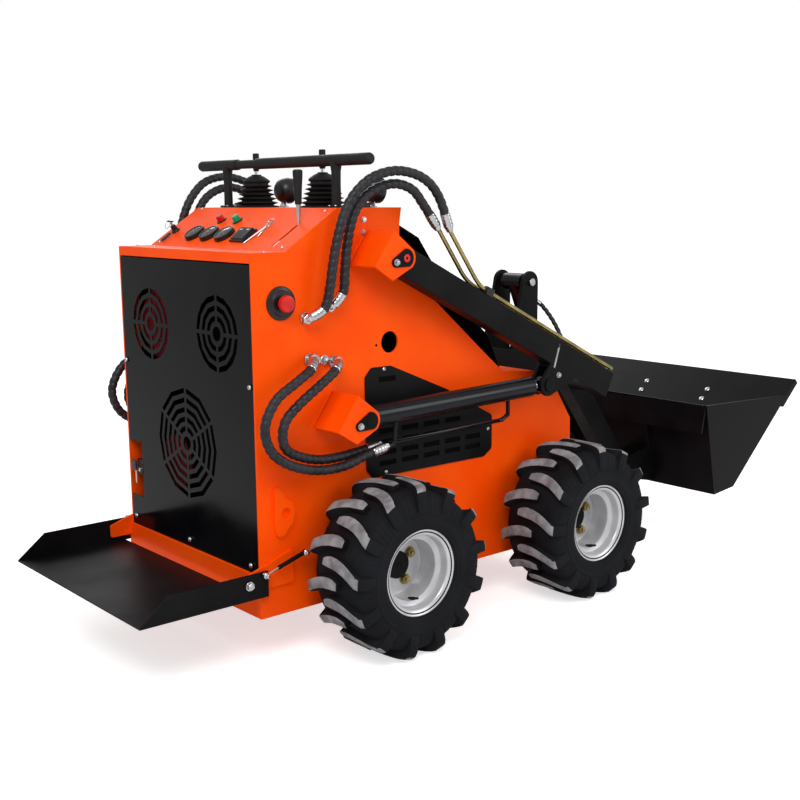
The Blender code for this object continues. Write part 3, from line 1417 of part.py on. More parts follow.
def pipe_line(index):
    """Start, bend and end of one of the two steel lines on the left arm."""
    rise = ARM_DEPTH / 2 + SEAT_GAP + 2 * PIPE_RADIUS
    across = ARM_Y + PIPE_RADIUS * PIPE_PLACE_SHARES[index]
    bend_x, bend_z = arm_point(PIPE_BEND_PLACE + PIPE_BEND_STEP * index, rise)
    end_x, end_z = arm_point(PIPE_END_PLACE, rise)
    bend = Vector((bend_x, across, bend_z))
    upward = Vector((-PIPE_LEAN_SHARE, 0, 1)).normalized()
    return bend + upward * (PIPE_RISE + PIPE_RISE_STEP * index), bend, Vector((end_x, across, end_z))


def bulkhead(place):
    """The seat of a hose fitting on the left side plate, and the way out of the plate."""
    seat_x, seat_z = along(ARM_PIN, place, HOSE_SPAN)
    return Vector((seat_x, SIDE_Y + SEAT_GAP, seat_z)), Vector((0, 1, 0))


def from_arm_pin(route):
    """A route's points, given from the arm's pin and the left side plate."""
    points = []
    for x_share, y_share, z_share in route:
        points.append(Vector((ARM_PIN[0] + HOSE_SPAN * x_share, SIDE_Y + HOSE_SPAN * y_share,
                              ARM_PIN[1] + HOSE_SPAN * z_share)))
    return points


def smooth_route(points, spacing):
    """Even points on a smooth curve from the second of these points to the last but one."""
    knots = [Vector(point) for point in points]
    fine = []
    steps = ROUTE_STEPS
    for index in range(1, len(knots) - 2):
        before, start, end, after = knots[index - 1:index + 3]
        for step in range(steps):
            share = step / steps
            pull = (end - before) / 2
            push = (after - start) / 2
            square = share * share
            cube = square * share
            fine.append(start * (2 * cube - 3 * square + 1) + pull * (cube - 2 * square + share)
                        + end * (3 * square - 2 * cube) + push * (cube - square))
    fine.append(knots[-2])
    total = sum((b - a).length for a, b in zip(fine, fine[1:]))
    count = max(4, round(total / spacing))
    result = [fine[0]]
    travelled = 0.0
    for first, second in zip(fine, fine[1:]):
        stretch = (second - first).length
        while len(result) < count and travelled + stretch >= total * len(result) / count:
            share = (total * len(result) / count - travelled) / stretch
            result.append(first.lerp(second, share))
        travelled += stretch
    result.append(fine[-1])
    return result


def hose(name, start, way_out, route, end, way_in, radius):
    """A hose that leaves its first fitting one way and enters its last the other way."""
    near = start + way_out * HOSE_STUB
    far = end - way_in * HOSE_STUB
    knots = [start, near] + [Vector(point) for point in route] + [far, end]
    points = [start] + smooth_route(knots, radius * POINT_SPACING_SHARE) + [end]
    curve = bpy.data.curves.new(name, "CURVE")
    curve.dimensions = "3D"
    curve.bevel_depth = radius
    curve.bevel_resolution = 2
    curve.use_fill_caps = True
    spline = curve.splines.new("POLY")
    spline.points.add(len(points) - 1)
    for knot, point in zip(spline.points, points):
        knot.co = (*point, 1.0)
    curve.materials.append(rubber())
    item = bpy.data.objects.new(name, curve)
    bpy.context.scene.collection.objects.link(item)
    item.location = (-ORIGIN_X, 0, 0)
    return item


def hoses(side):
    """The four hoses of one side: two to the arm's steel lines and two to the lift cylinder."""
    def across(point):
        return Vector((point[0], side * point[1], point[2]))
    for index, (name, place_on_side, route) in enumerate(BOOM_HOSE_SHARES):
        start, way_out = bulkhead(place_on_side)
        pipe_start, bend, _ = pipe_line(index)
        way_in = (bend - pipe_start).normalized()
        end = pipe_start - way_in * SEAT_GAP
        points = [across(point) for point in from_arm_pin(route)]
        hose(name + "_" + side_name(side), across(start), across(way_out), points, across(end),
             across(way_in), HOSE_RADIUS)
    for name, place_on_side, line, route in CYLINDER_HOSE_SHARES:
        start, way_out = bulkhead(place_on_side)
        first, second = lift_line(line)[:2]
        way_in = (second - first).normalized()
        end = first - way_in * SEAT_GAP
        points = [across(point) for point in from_arm_pin(route)]
        hose(name + "_" + side_name(side), across(start), across(way_out), points, across(end), way_in,
             HOSE_RADIUS)


def tilt_hose():
    """The hose from the beam's front face to the front of the tilt cylinder."""
    barrel, _ = heading(TOWER_PIN, TILT_ROD_PIN)
    front = (-barrel[1], barrel[0])
    port = along(along(TOWER_PIN, barrel, TILT_PORT_PLACE), front, TILT_BARREL_RADIUS + SEAT_GAP)
    route = []
    for x_share, y_share, z_share in TILT_HOSE_SHARES:
        route.append(Vector((TOWER_PIN[0] + HOSE_SPAN * x_share, -HOSE_SPAN * y_share,
                             TOWER_PIN[1] + HOSE_SPAN * z_share)))
    seat = arm_point(BEAM_PLACE + BEAM_LENGTH / 2 + SEAT_GAP, 0)
    hose("tilt_hose", Vector((port[0], 0, port[1])), Vector((front[0], 0, front[1])), route,
         Vector((seat[0], route[-1].y, seat[1])), -Vector((ARM_ALONG[0], 0, ARM_ALONG[1])), TILT_HOSE_RADIUS)


def boom_pipes(side):
    """Two steel lines along the top of an arm, held in one clamp block."""
    base = arm_point(CLAMP_PLACE, ARM_DEPTH / 2 + SEAT_GAP)
    tail = along(base, ARM_ALONG, CLAMP_SIZE)
    outline = [base, tail, along(tail, ARM_UP, CLAMP_SIZE), along(base, ARM_UP, CLAMP_SIZE)]
    low, high = span(side, ARM_Y - CLAMP_SIZE / 2, ARM_Y + CLAMP_SIZE)
    mesh = bmesh.new()
    prism(mesh, outline, low, high)
    item = place("boom_pipes_" + side_name(side), mesh, zinc(), (ARM_PIN[0], side * ARM_Y, ARM_PIN[1]))
    for index in range(len(PIPE_PLACE_SHARES)):
        points = [Vector((p.x, side * p.y, p.z)) for p in pipe_line(index)]
        for first, last in zip(points, points[1:]):
            pipe = bmesh.new()
            run = last - first
            start = first if first == points[0] else first - run.normalized() * PIPE_RADIUS
            cylinder(pipe, start, run, PIPE_RADIUS, (last - start).length, PIPE_STEPS)
            join(item, pipe)
    return item


def build():
    clear_scene()
    for side in (-1, 1):
        side_plate(side)
        side_vent(side)
        work_lamp(side)
        control_lever(side)
        bracket("arm_bracket_" + side_name(side), side, ARM_PIN, ARM_PIN_RADIUS)
        bracket("cylinder_bracket_" + side_name(side), side, LIFT_BASE, LIFT_PIN_RADIUS)
        for end, axle_x in (("rear", REAR_AXLE_X), ("front", REAR_AXLE_X + WHEEL_BASE)):
            tail = "_" + end + "_" + side_name(side)
            wheel_motor("wheel_motor" + tail, side, axle_x)
            rim("rim" + tail, side, axle_x)
            tyre("tyre" + tail, side, axle_x)
        arm(side)
        boom_pipes(side)
        lift_cylinder(side)
        strut(side)
        hoses(side)
    lower_frame()
    console()
    rear_panel()
    hood()
    engine_block()
    hand_bar()
    boom_beam()
    attach_plate()
    bucket()
    tilt_cylinder()
    rear_bar()
    platform()
    tilt_hose()


build()
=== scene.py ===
"""Stand-on skid steer loader: finishes, tyres, hoses, controls, fasteners and a studio."""

import json
import math

import bmesh
import bpy
from bpy.props import FloatProperty, FloatVectorProperty, IntProperty, PointerProperty
from mathutils import Matrix, Vector

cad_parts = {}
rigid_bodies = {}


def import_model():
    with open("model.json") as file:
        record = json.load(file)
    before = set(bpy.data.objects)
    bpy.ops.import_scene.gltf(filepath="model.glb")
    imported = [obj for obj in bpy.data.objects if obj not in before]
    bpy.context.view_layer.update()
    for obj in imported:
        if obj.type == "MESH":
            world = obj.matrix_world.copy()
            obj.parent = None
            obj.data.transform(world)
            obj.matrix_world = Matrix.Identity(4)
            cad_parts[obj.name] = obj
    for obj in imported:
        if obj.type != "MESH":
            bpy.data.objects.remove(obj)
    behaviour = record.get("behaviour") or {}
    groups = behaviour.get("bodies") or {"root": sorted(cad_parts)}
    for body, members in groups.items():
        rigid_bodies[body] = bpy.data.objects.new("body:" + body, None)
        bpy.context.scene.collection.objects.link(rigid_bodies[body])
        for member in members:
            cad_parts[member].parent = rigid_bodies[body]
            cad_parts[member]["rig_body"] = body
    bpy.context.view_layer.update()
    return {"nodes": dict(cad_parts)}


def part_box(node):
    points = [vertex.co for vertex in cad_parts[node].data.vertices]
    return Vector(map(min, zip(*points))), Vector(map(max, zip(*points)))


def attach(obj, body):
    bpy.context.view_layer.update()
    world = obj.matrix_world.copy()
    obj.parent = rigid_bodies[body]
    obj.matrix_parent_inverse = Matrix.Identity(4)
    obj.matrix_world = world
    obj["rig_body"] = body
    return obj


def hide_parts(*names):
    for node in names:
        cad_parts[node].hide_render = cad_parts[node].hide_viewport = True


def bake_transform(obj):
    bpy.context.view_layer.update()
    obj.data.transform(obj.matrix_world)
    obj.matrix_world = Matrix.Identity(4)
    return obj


bl_info = {
    "name": "Stand-on skid steer loader",
    "version": (1, 0, 0),
    "blender": (4, 5, 0),
    "location": "3D View > Sidebar > Loader",
    "description": "Dresses the loader's frame with its finishes, wheels, hoses and controls",
    "category": "Object",
}

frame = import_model()
NODES = frame["nodes"]
# The frame's origin is under the machine's middle. Places below are measured from the rear
# face of the body, the centre plane and the ground.
SHIFT = Vector((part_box("side_plate_left")[0].x, 0, 0))

SIDES = (-1, 1)
UP = Vector((0, 0, 1))
# Distances from the centre plane: the side plates, the arms' middles, the brackets' outer faces
SIDE_Y = 0.335
ARM_Y = 0.395
BRACKET_Y = 0.440
BODY_TOP = 1.145
# The linkage's pins on the centre plane, and an arm's directions
ARM_PIN = Vector((0.3962, 0, 1.0190))
ROD_PIN = Vector((0.9622, 0, 0.6310))
LIFT_BASE = Vector((0.2742, 0, 0.6150))
TOWER_PIN = Vector((1.2502, 0, 0.8990))
TILT_ROD_PIN = Vector((1.4502, 0, 0.4500))
ARM_ALONG = Vector((0.8965, 0, -0.4431)).normalized()
ARM_UP = Vector((0.4431, 0, 0.8965)).normalized()
# The console's sloped face: its foot, directions and length
SLOPE_FOOT = Vector((0.1005, 0, 1.0410))
SLOPE_ALONG = Vector((0.8374, 0, 0.5466)).normalized()
SLOPE_UP = Vector((-0.5466, 0, 0.8374)).normalized()
SLOPE_LENGTH = 0.19034
# The stop knob's place on the right side plate: along the machine and above the ground
STOP_KNOB = (0.083, 0.917)


# Colours and shader nodes

def linear(code):
    """A hex sRGB colour as linear red, green, blue and full opacity."""
    channels = []
    for start in (1, 3, 5):
        value = int(code[start:start + 2], 16) / 255
        if value <= 0.04045:
            channels.append(value / 12.92)
        else:
            channels.append(((value + 0.055) / 1.055) ** 2.4)
    return (*channels, 1.0)


def add_node(material, kind, settings=None, inputs=None):
    """Adds a shader node, sets its settings and sets or links its inputs."""
    tree = material.node_tree
    node = tree.nodes.new(kind)
    for name, value in (settings or {}).items():
        setattr(node, name, value)
    for name, value in (inputs or {}).items():
        if isinstance(value, bpy.types.NodeSocket):
            tree.links.new(value, node.inputs[name])
        else:
            node.inputs[name].default_value = value
    return node


def finish(name, colour, roughness, metallic=0.0, **inputs):
    """A new material with its surface shader, and that shader."""
    material = bpy.data.materials.new(name + "_finish")
    material.use_nodes = True
    shader = material.node_tree.nodes["Principled BSDF"]
    shader.inputs["Base Color"].default_value = linear(colour)
    shader.inputs["Roughness"].default_value = roughness
    shader.inputs["Metallic"].default_value = metallic
    for label, value in inputs.items():
        shader.inputs[label.replace("_", " ")].default_value = value
    return material, shader


def link(material, output, socket):
    material.node_tree.links.new(output, socket)


def shade(tone):
    """Four linear channels of a hex code or of a colour that a user can change."""
    return linear(tone) if isinstance(tone, str) else (*tone, 1.0)


def grain(material, shader, size, depth, detail=2.0, roughness_span=None, tones=None,
          patch_size=0.14):
    """Fine relief of a real size in metres, with the gloss and the tone that go with it."""
    place = add_node(material, "ShaderNodeTexCoord")
    noise = add_node(material, "ShaderNodeTexNoise", inputs={
        "Vector": place.outputs["Object"], "Scale": 1.0 / size, "Detail": detail})
    bump = add_node(material, "ShaderNodeBump", inputs={
        "Height": noise.outputs["Fac"], "Distance": depth, "Strength": 1.0})
    link(material, bump.outputs["Normal"], shader.inputs["Normal"])
    patch = add_node(material, "ShaderNodeTexNoise", inputs={
        "Vector": place.outputs["Object"], "Scale": 1.0 / patch_size, "Detail": 4.0})
    if roughness_span:
        low, high = roughness_span
        span = add_node(material, "ShaderNodeMapRange", inputs={
            "Value": patch.outputs["Fac"], "From Min": 0.3, "From Max": 0.7,
            "To Min": low, "To Max": high})
        link(material, span.outputs["Result"], shader.inputs["Roughness"])
    if tones:
        ramp = add_node(material, "ShaderNodeValToRGB", inputs={"Fac": patch.outputs["Fac"]})
        for element, position, tone in zip(ramp.color_ramp.elements, (0.35, 0.65), tones):
            element.position = position
            element.color = shade(tone)
        link(material, ramp.outputs["Color"], shader.inputs["Base Color"])


def orange_powder_coat():
    """Powder coat over steel sheet: an orange-peel skin of about 2 mm under an even gloss."""
    colours = bpy.context.scene.loader_colours
    material, shader = finish("orange_powder_coat", "#FF5000", 0.40, Specular_IOR_Level=0.08)
    grain(material, shader, 0.0024, 0.000035, 1.0, (0.34, 0.46),
          (colours.body_deep, colours.body_light))
    return material


def black_powder_coat():
    """Satin powder coat on plate: fine grain of about 1 mm that breaks up the highlight."""
    colours = bpy.context.scene.loader_colours
    material, shader = finish("black_powder_coat", "#0E0D0F", 0.40, Specular_IOR_Level=0.09)
    grain(material, shader, 0.0012, 0.00004, 2.0, (0.34, 0.48),
          (colours.plate_deep, colours.plate_light))
    return material


def gloss_black_panel():
    """Gloss black sheet that mirrors the sky and the ground."""
    material, shader = finish("gloss_black_panel", "#09090B", 0.16, Specular_IOR_Level=0.11)
    grain(material, shader, 0.0030, 0.00002, 1.0, (0.10, 0.20), ("#070709", "#0B0B0E"))
    return material


def cylinder_enamel():
    """Wet-sprayed black enamel on honed tube, glossier than powder coat."""
    material, shader = finish("cylinder_enamel", "#0A0B10", 0.24, Specular_IOR_Level=0.22)
    grain(material, shader, 0.0035, 0.00002, 1.0, (0.18, 0.30), ("#08090D", "#0E1016"))
    return material


def tyre_rubber():
    """Carbon-black tyre rubber, dull with a dry bloom and a moulded skin of about 1 mm."""
    material, shader = finish("tyre_rubber", "#141416", 0.74, Specular_IOR_Level=0.12)
    grain(material, shader, 0.0014, 0.00009, 3.0, (0.66, 0.86), ("#101113", "#1A1B1F"), 0.09)
    return material


def lug_face_painted_sheen():
    """Rubber of the lug faces, painted a pale grey as a sheen where light falls on them."""
    material, shader = finish("lug_face_painted_sheen", "#868688", 0.82, Specular_IOR_Level=0.2)
    grain(material, shader, 0.0016, 0.00012, 3.0, (0.76, 0.90), ("#6E6E71", "#97979A"), 0.03)
    return material


def hose_rubber():
    """Black spiral guard over a hydraulic hose: tough plastic with a low sheen."""
    material, shader = finish("hose_rubber", "#1C1C20", 0.44, Specular_IOR_Level=0.34)
    grain(material, shader, 0.0011, 0.00006, 2.0, (0.38, 0.56), ("#18181B", "#26262B"), 0.05)
    return material


def boot_rubber():
    """Soft moulded rubber of boots and grips, matt black."""
    material, shader = finish("boot_rubber", "#131314", 0.60, Specular_IOR_Level=0.28)
    grain(material, shader, 0.0010, 0.00005, 2.0, (0.52, 0.70), ("#101011", "#19191A"), 0.05)
    return material


def moulded_black_plastic():
    """Injection-moulded nylon of knobs, dials and switches: spark-eroded texture, half gloss."""
    material, shader = finish("moulded_black_plastic", "#151517", 0.34, Specular_IOR_Level=0.4)
    grain(material, shader, 0.0009, 0.00002, 2.0, (0.28, 0.42), ("#131315", "#19191C"), 0.04)
    return material


def red_plastic():
    """Red moulded plastic of the stop knob and the start button."""
    material, shader = finish("red_plastic", "#C8140F", 0.32, Specular_IOR_Level=0.4)
    grain(material, shader, 0.0010, 0.00002, 2.0, (0.26, 0.40), ("#C0120E", "#D01812"), 0.03)
    return material


def green_plastic():
    """Green lens of the pilot button."""
    material, shader = finish("green_plastic", "#0E9A63", 0.28, Specular_IOR_Level=0.4)
    grain(material, shader, 0.0010, 0.00002, 2.0, (0.22, 0.36), ("#0C905C", "#12A46A"), 0.03)
    return material


def painted_shade_backing():
    """Near-black matt sheet: painted shade that stands for the dark inside behind the vents and openings."""
    material, shader = finish("painted_shade_backing", "#060607", 0.8, Specular_IOR_Level=0.05)
    grain(material, shader, 0.0030, 0.0004, 2.0, (0.7, 0.9), ("#040405", "#0A0A0B"), 0.05)
    return material


def fan_red():
    """Dusty dark red paint of the fans behind the rear grilles."""
    material, shader = finish("fan_red", "#7A1018", 0.6, Specular_IOR_Level=0.2)
    grain(material, shader, 0.0020, 0.00005, 2.0, (0.5, 0.7), ("#6A0D14", "#86121B"), 0.04)
    return material


def dial_ink():
    """White printed marks on switches and dials, thick matt ink."""
    material, shader = finish("dial_ink", "#D8D8D6", 0.6)
    grain(material, shader, 0.0008, 0.00002, 2.0, (0.55, 0.68), ("#D2D2D0", "#DEDEDC"), 0.02)
    return material


def lens_glass():
    """Clear moulded lens over a dial or a lamp, slightly smoky from the dark behind it."""
    material, shader = finish("lens_glass", "#FFFFFF", 0.03, IOR=1.5, Transmission_Weight=1.0)
    grain(material, shader, 0.0060, 0.00002, 1.0, (0.02, 0.06))
    return material


def lamp_reflector():
    """Vacuum-metallised bowl behind the lamp's lens."""
    material, shader = finish("lamp_reflector", "#E4E5E8", 0.12, 1.0)
    grain(material, shader, 0.0050, 0.00004, 1.0, (0.08, 0.18))
    return material


def silver_wheel_paint():
    """Aluminium-flake wheel paint, pale grey with a soft metallic sheen."""
    colours = bpy.context.scene.loader_colours
    material, shader = finish("silver_wheel_paint", "#CDCDCF", 0.34, 0.45)
    grain(material, shader, 0.0009, 0.00003, 2.0, (0.28, 0.42),
          (colours.wheel_deep, colours.wheel_light), 0.06)
    return material


def chromed_steel():
    """Hard chrome on ground rod: a mirror with hardly any texture."""
    material, shader = finish("chromed_steel", "#D6D7DA", 0.10, 1.0)
    grain(material, shader, 0.0040, 0.000005, 1.0, (0.07, 0.13))
    return material


def zinc_plated_steel():
    """Bright zinc on fasteners and fittings: a clean grey metal, softer than chrome."""
    material, shader = finish("zinc_plated_steel", "#C6C7CA", 0.26, 1.0)
    grain(material, shader, 0.0014, 0.00003, 2.0, (0.18, 0.34), ("#BCBDC0", "#D0D1D4"), 0.03)
    return material


def yellow_zinc():
    """Yellow-passivated zinc on steel line and nuts: olive gold with a drifting tint."""
    material, shader = finish("yellow_zinc", "#9C8A55", 0.30, 0.95)
    grain(material, shader, 0.0015, 0.00002, 2.0, (0.24, 0.38), ("#8C8055", "#B09C62"), 0.05)
    return material


FINISHES = (orange_powder_coat, black_powder_coat, gloss_black_panel, cylinder_enamel, tyre_rubber,
            lug_face_painted_sheen, hose_rubber, boot_rubber, moulded_black_plastic, red_plastic,
            green_plastic, painted_shade_backing, fan_red, dial_ink, lens_glass, lamp_reflector,
            silver_wheel_paint, chromed_steel, zinc_plated_steel, yellow_zinc)


def material_named(name):
    """The material of that name, made the first time it is asked for."""
    made = bpy.data.materials.get(name + "_finish")
    if made:
        return made
    for maker in FINISHES:
        if maker.__name__ == name:
            return maker()
    raise ValueError("no finish is named " + name)


# Mesh helpers

def paint(faces, index):
    for face in faces:
        face.material_index = index


def once(items):
    """The items, each once and in the order they come in, which a set would not keep."""
    return list(dict.fromkeys(items))


def faces_at(verts):
    """The faces that meet at the vertices."""
    return once(face for vert in verts for face in vert.link_faces)


def turned(mesh, profile, centre, axis, steps=32, index=0, ring=False):
    """Spins a profile of (place along the axis, radius) into a turned shape.

    Its ends are closed on the axis, or joined to each other to make a ring."""
    profile = list(profile)
    if not ring and profile[0][1]:
        profile.insert(0, (profile[0][0], 0))
    if not ring and profile[-1][1]:
        profile.append((profile[-1][0], 0))
    before = set(mesh.faces)
    direction = Vector(axis).normalized()
    side = direction.orthogonal().normalized()
    base = Vector(centre)
    verts = [mesh.verts.new(base + direction * place + side * radius) for place, radius in profile]
    edges = [mesh.edges.new(pair) for pair in zip(verts, verts[1:])]
    if ring:
        edges.append(mesh.edges.new((verts[-1], verts[0])))
    bmesh.ops.spin(mesh, geom=verts + edges, cent=base, axis=direction, angle=2 * math.pi,
                   steps=steps, use_merge=True)
    made = [face for face in mesh.faces if face not in before]
    corners = once(vert for face in made for vert in face.verts)
    bmesh.ops.remove_doubles(mesh, verts=corners, dist=0.00001)
    made = [face for face in mesh.faces if face not in before]
    bmesh.ops.recalc_face_normals(mesh, faces=made)
    paint(made, index)
    return made


def slab(mesh, outline, low, high, axis="Y", index=0, edge=0.0, segments=2):
    """Extrudes an outline between two places along one axis and eases its rims."""
    order = {"Y": lambda u, v, w: (u, w, v), "X": lambda u, v, w: (w, u, v)}
    corner = order[axis]
    verts = [mesh.verts.new(corner(u, v, low)) for u, v in outline]
    grown = bmesh.ops.extrude_face_region(mesh, geom=[mesh.faces.new(verts)])["geom"]
    top = [item for item in grown if isinstance(item, bmesh.types.BMVert)]
    bmesh.ops.translate(mesh, verts=top, vec=Vector(corner(0, 0, high - low)))
    made = faces_at(verts + top)
    bmesh.ops.recalc_face_normals(mesh, faces=made)
    paint(made, index)
    if edge:
        rims = once(e for face in made for e in face.edges if e.calc_face_angle(0) > math.radians(35))
        bmesh.ops.bevel(mesh, geom=rims, offset=edge, offset_type="OFFSET", segments=segments,
                        profile=0.5, affect="EDGES", clamp_overlap=True, material=-1)
    return verts + top


def block(mesh, middle, size, turn=0.0, index=0, edge=0.0015, segments=2):
    """A box with eased edges about its middle, turned by an angle about the width axis."""
    verts = bmesh.ops.create_cube(mesh, size=1.0)["verts"]
    place = (Matrix.Translation(Vector(middle)) @ Matrix.Rotation(turn, 4, "Y")
             @ Matrix.Diagonal((*size, 1.0)))
    bmesh.ops.transform(mesh, matrix=place, verts=verts)
    paint(faces_at(verts), index)
    rims = once(e for vert in verts for e in vert.link_edges)
    bmesh.ops.bevel(mesh, geom=rims, offset=edge, offset_type="OFFSET", segments=segments,
                    profile=0.5, affect="EDGES", clamp_overlap=True, material=-1)


def tube(mesh, points, radius, sides=16, index=0, relief=None):
    """Sweeps a circle along points. The radius is one number or one for each point.

    Relief gives a height to add at a distance along the tube and a turn round it."""
    path = [Vector(point) for point in points]
    count = len(path)
    radii = [radius] * count if isinstance(radius, (int, float)) else list(radius)
    ring = bmesh.ops.create_circle(mesh, cap_ends=False, radius=1.0, segments=sides)["verts"]
    shape = [vert.co.copy() for vert in ring]
    direction = (path[1] - path[0]).normalized()
    across = direction.orthogonal().normalized()
    rings = []
    travelled = 0.0
    edges = once(edge for vert in ring for edge in vert.link_edges)
    for place in range(count):
        if place > 0:
            travelled += (path[place] - path[place - 1]).length
            grown = bmesh.ops.extrude_edge_only(mesh, edges=edges)["geom"]
            ring = [item for item in grown if isinstance(item, bmesh.types.BMVert)]
            edges = [item for item in grown if isinstance(item, bmesh.types.BMEdge)
                     and all(vert in ring for vert in item.verts)]
        before = path[max(place - 1, 0)]
        after = path[min(place + 1, count - 1)]
        direction = (after - before).normalized()
        across = (across - direction * across.dot(direction)).normalized()
        upright = direction.cross(across)
        for vert, flat in zip(ring, shape):
            reach = radii[place]
            if relief:
                reach += relief(travelled, math.atan2(flat.y, flat.x))
            vert.co = path[place] + (across * flat.x + upright * flat.y) * reach
        rings.append(list(ring))
    made = faces_at(vert for verts in rings for vert in verts)
    for verts in (rings[0], rings[-1]):
        made.append(mesh.faces.new(verts))
    bmesh.ops.recalc_face_normals(mesh, faces=made)
    paint(made, index)


def smooth_path(knots, spacing):
    """Even points on a smooth curve through the knots, the first and last of them included."""
    points = [Vector(knot) for knot in knots]
    points = [points[0] * 2 - points[1]] + points + [points[-1] * 2 - points[-2]]
    fine = []
    for index in range(1, len(points) - 2):
        before, start, end, after = points[index - 1:index + 3]
        for step in range(16):
            share = step / 16
            square = share * share
            cube = square * share
            fine.append(start * (2 * cube - 3 * square + 1) + (end - before) / 2 * (cube - 2 * square + share)
                        + end * (3 * square - 2 * cube) + (after - start) / 2 * (cube - square))
    fine.append(points[-2])
    lengths = [0.0]
    for first, last in zip(fine, fine[1:]):
        lengths.append(lengths[-1] + (last - first).length)
    count = max(2, round(lengths[-1] / spacing))
    result = []
    place = 0
    for step in range(count + 1):
        wanted = lengths[-1] * step / count
        while place < len(fine) - 2 and lengths[place + 1] < wanted:
            place += 1
        stretch = max(lengths[place + 1] - lengths[place], 1e-9)
        result.append(fine[place].lerp(fine[place + 1], (wanted - lengths[place]) / stretch))
    return result


def bent_path(corners, radius, steps=6):
    """Straight runs between corners, each inner corner rounded as a tube bender leaves it."""
    points = [Vector(corner) for corner in corners]
    result = [points[0]]
    for before, corner, after in zip(points, points[1:], points[2:]):
        back = before - corner
        on = after - corner
        reach = min(radius, back.length / 2.2, on.length / 2.2)
        first = corner + back.normalized() * reach
        last = corner + on.normalized() * reach
        for step in range(steps + 1):
            share = step / steps
            result.append(first.lerp(corner, share).lerp(corner.lerp(last, share), share))
    result.append(points[-1])
    return result


def part_of_path(points, low, high):
    """The stretch of a path between two distances from its start."""
    result = []
    travelled = 0.0
    for first, last in zip(points, points[1:]):
        length = (last - first).length
        if travelled + length > low and travelled < high:
            if not result:
                result.append(first.lerp(last, max(0.0, (low - travelled) / length)))
            result.append(first.lerp(last, min(1.0, (high - travelled) / length)))
        travelled += length
    return result


def path_length(points):
    return sum((last - first).length for first, last in zip(points, points[1:]))


def hexagon(mesh, centre, axis, across, height, index=0):
    """A hexagon head or nut with chamfered corners, standing on its centre."""
    radius = across / math.sqrt(3)
    verts = bmesh.ops.create_cone(mesh, cap_ends=True, segments=6, radius1=radius,
                                  radius2=radius, depth=height)["verts"]
    made = faces_at(verts)
    turn = UP.rotation_difference(Vector(axis)).to_matrix().to_4x4()
    place = Matrix.Translation(Vector(centre) + Vector(axis).normalized() * height / 2)
    bmesh.ops.transform(mesh, matrix=place @ turn, verts=verts)
    rims = once(e for face in made for e in face.edges if e.calc_face_angle(0) > math.radians(80))
    paint(made, index)
    bmesh.ops.bevel(mesh, geom=rims, offset=height * 0.12, offset_type="OFFSET", segments=1,
                    profile=0.5, affect="EDGES", clamp_overlap=True, material=-1)


def hex_bolt(mesh, seat, axis, across, index=0):
    """A washer, a hexagon head and the crowned end above it."""
    way = Vector(axis).normalized()
    seat = Vector(seat)
    turned(mesh, ((-0.0008, across * 0.72), (0.0010, across * 0.72), (0.0016, across * 0.68)),
           seat, way, 24, index)
    hexagon(mesh, seat + way * 0.0014, way, across, across * 0.42, index)
    top = 0.0014 + across * 0.42
    turned(mesh, ((top - 0.0006, across * 0.36), (top + across * 0.05, across * 0.30),
                  (top + across * 0.07, 0)), seat, way, 18, index)


def button_screw(mesh, seat, axis, radius, index=0):
    """A button head with its socket."""
    profile = ((-0.0008, radius), (radius * 0.12, radius), (radius * 0.42, radius * 0.84),
               (radius * 0.60, radius * 0.50), (radius * 0.61, radius * 0.40), (radius * 0.28, radius * 0.36),
               (radius * 0.26, 0))
    turned(mesh, profile, seat, axis, 20, index)


def weld_bead(mesh, points, radius=0.003, index=0):
    """A run of weld laid as overlapping ripples."""
    path = smooth_path(points, 0.0016)
    radii = [radius * (0.86 + 0.18 * abs(math.sin(step * 0.9))) for step in range(len(path))]
    radii[0] = radii[-1] = radius * 0.4
    tube(mesh, path, radii, 8, index)


def eased(mesh, edge, sharp=30, segments=2):
    """Rounds every edge that turns more than the sharp angle."""
    rims = [e for e in mesh.edges if len(e.link_faces) == 2 and e.calc_face_angle(0) > math.radians(sharp)]
    bmesh.ops.bevel(mesh, geom=rims, offset=edge, offset_type="OFFSET", segments=segments,
                    profile=0.5, affect="EDGES", clamp_overlap=True, material=-1)


def copied(node, edge=0.0, segments=2, sharp=30, leave_out=None):
    """A CAD node's shape, merged, with its flat faces whole and its edges eased.

    Faces whose middle passes leave_out are taken off and the hole they leave is closed."""
    mesh = bmesh.new()
    mesh.from_mesh(NODES[node].data)
    bmesh.ops.translate(mesh, verts=mesh.verts, vec=-SHIFT)
    bmesh.ops.remove_doubles(mesh, verts=mesh.verts, dist=0.00002)
    bmesh.ops.dissolve_degenerate(mesh, dist=0.00002, edges=mesh.edges)
    if leave_out:
        gone = [face for face in mesh.faces if leave_out(face.calc_center_median())]
        bmesh.ops.delete(mesh, geom=gone, context="FACES")
        rims = [edge_left for edge_left in mesh.edges if edge_left.is_boundary]
        bmesh.ops.holes_fill(mesh, edges=rims, sides=0)
        bmesh.ops.triangulate(mesh, faces=[face for face in mesh.faces if len(face.verts) > 4])
    bmesh.ops.dissolve_limit(mesh, angle_limit=math.radians(0.5), use_dissolve_boundaries=False,
                             verts=mesh.verts, edges=mesh.edges)
    bmesh.ops.recalc_face_normals(mesh, faces=mesh.faces)
    paint(mesh.faces, 0)
    if edge:
        eased(mesh, edge, sharp, segments)
    return mesh


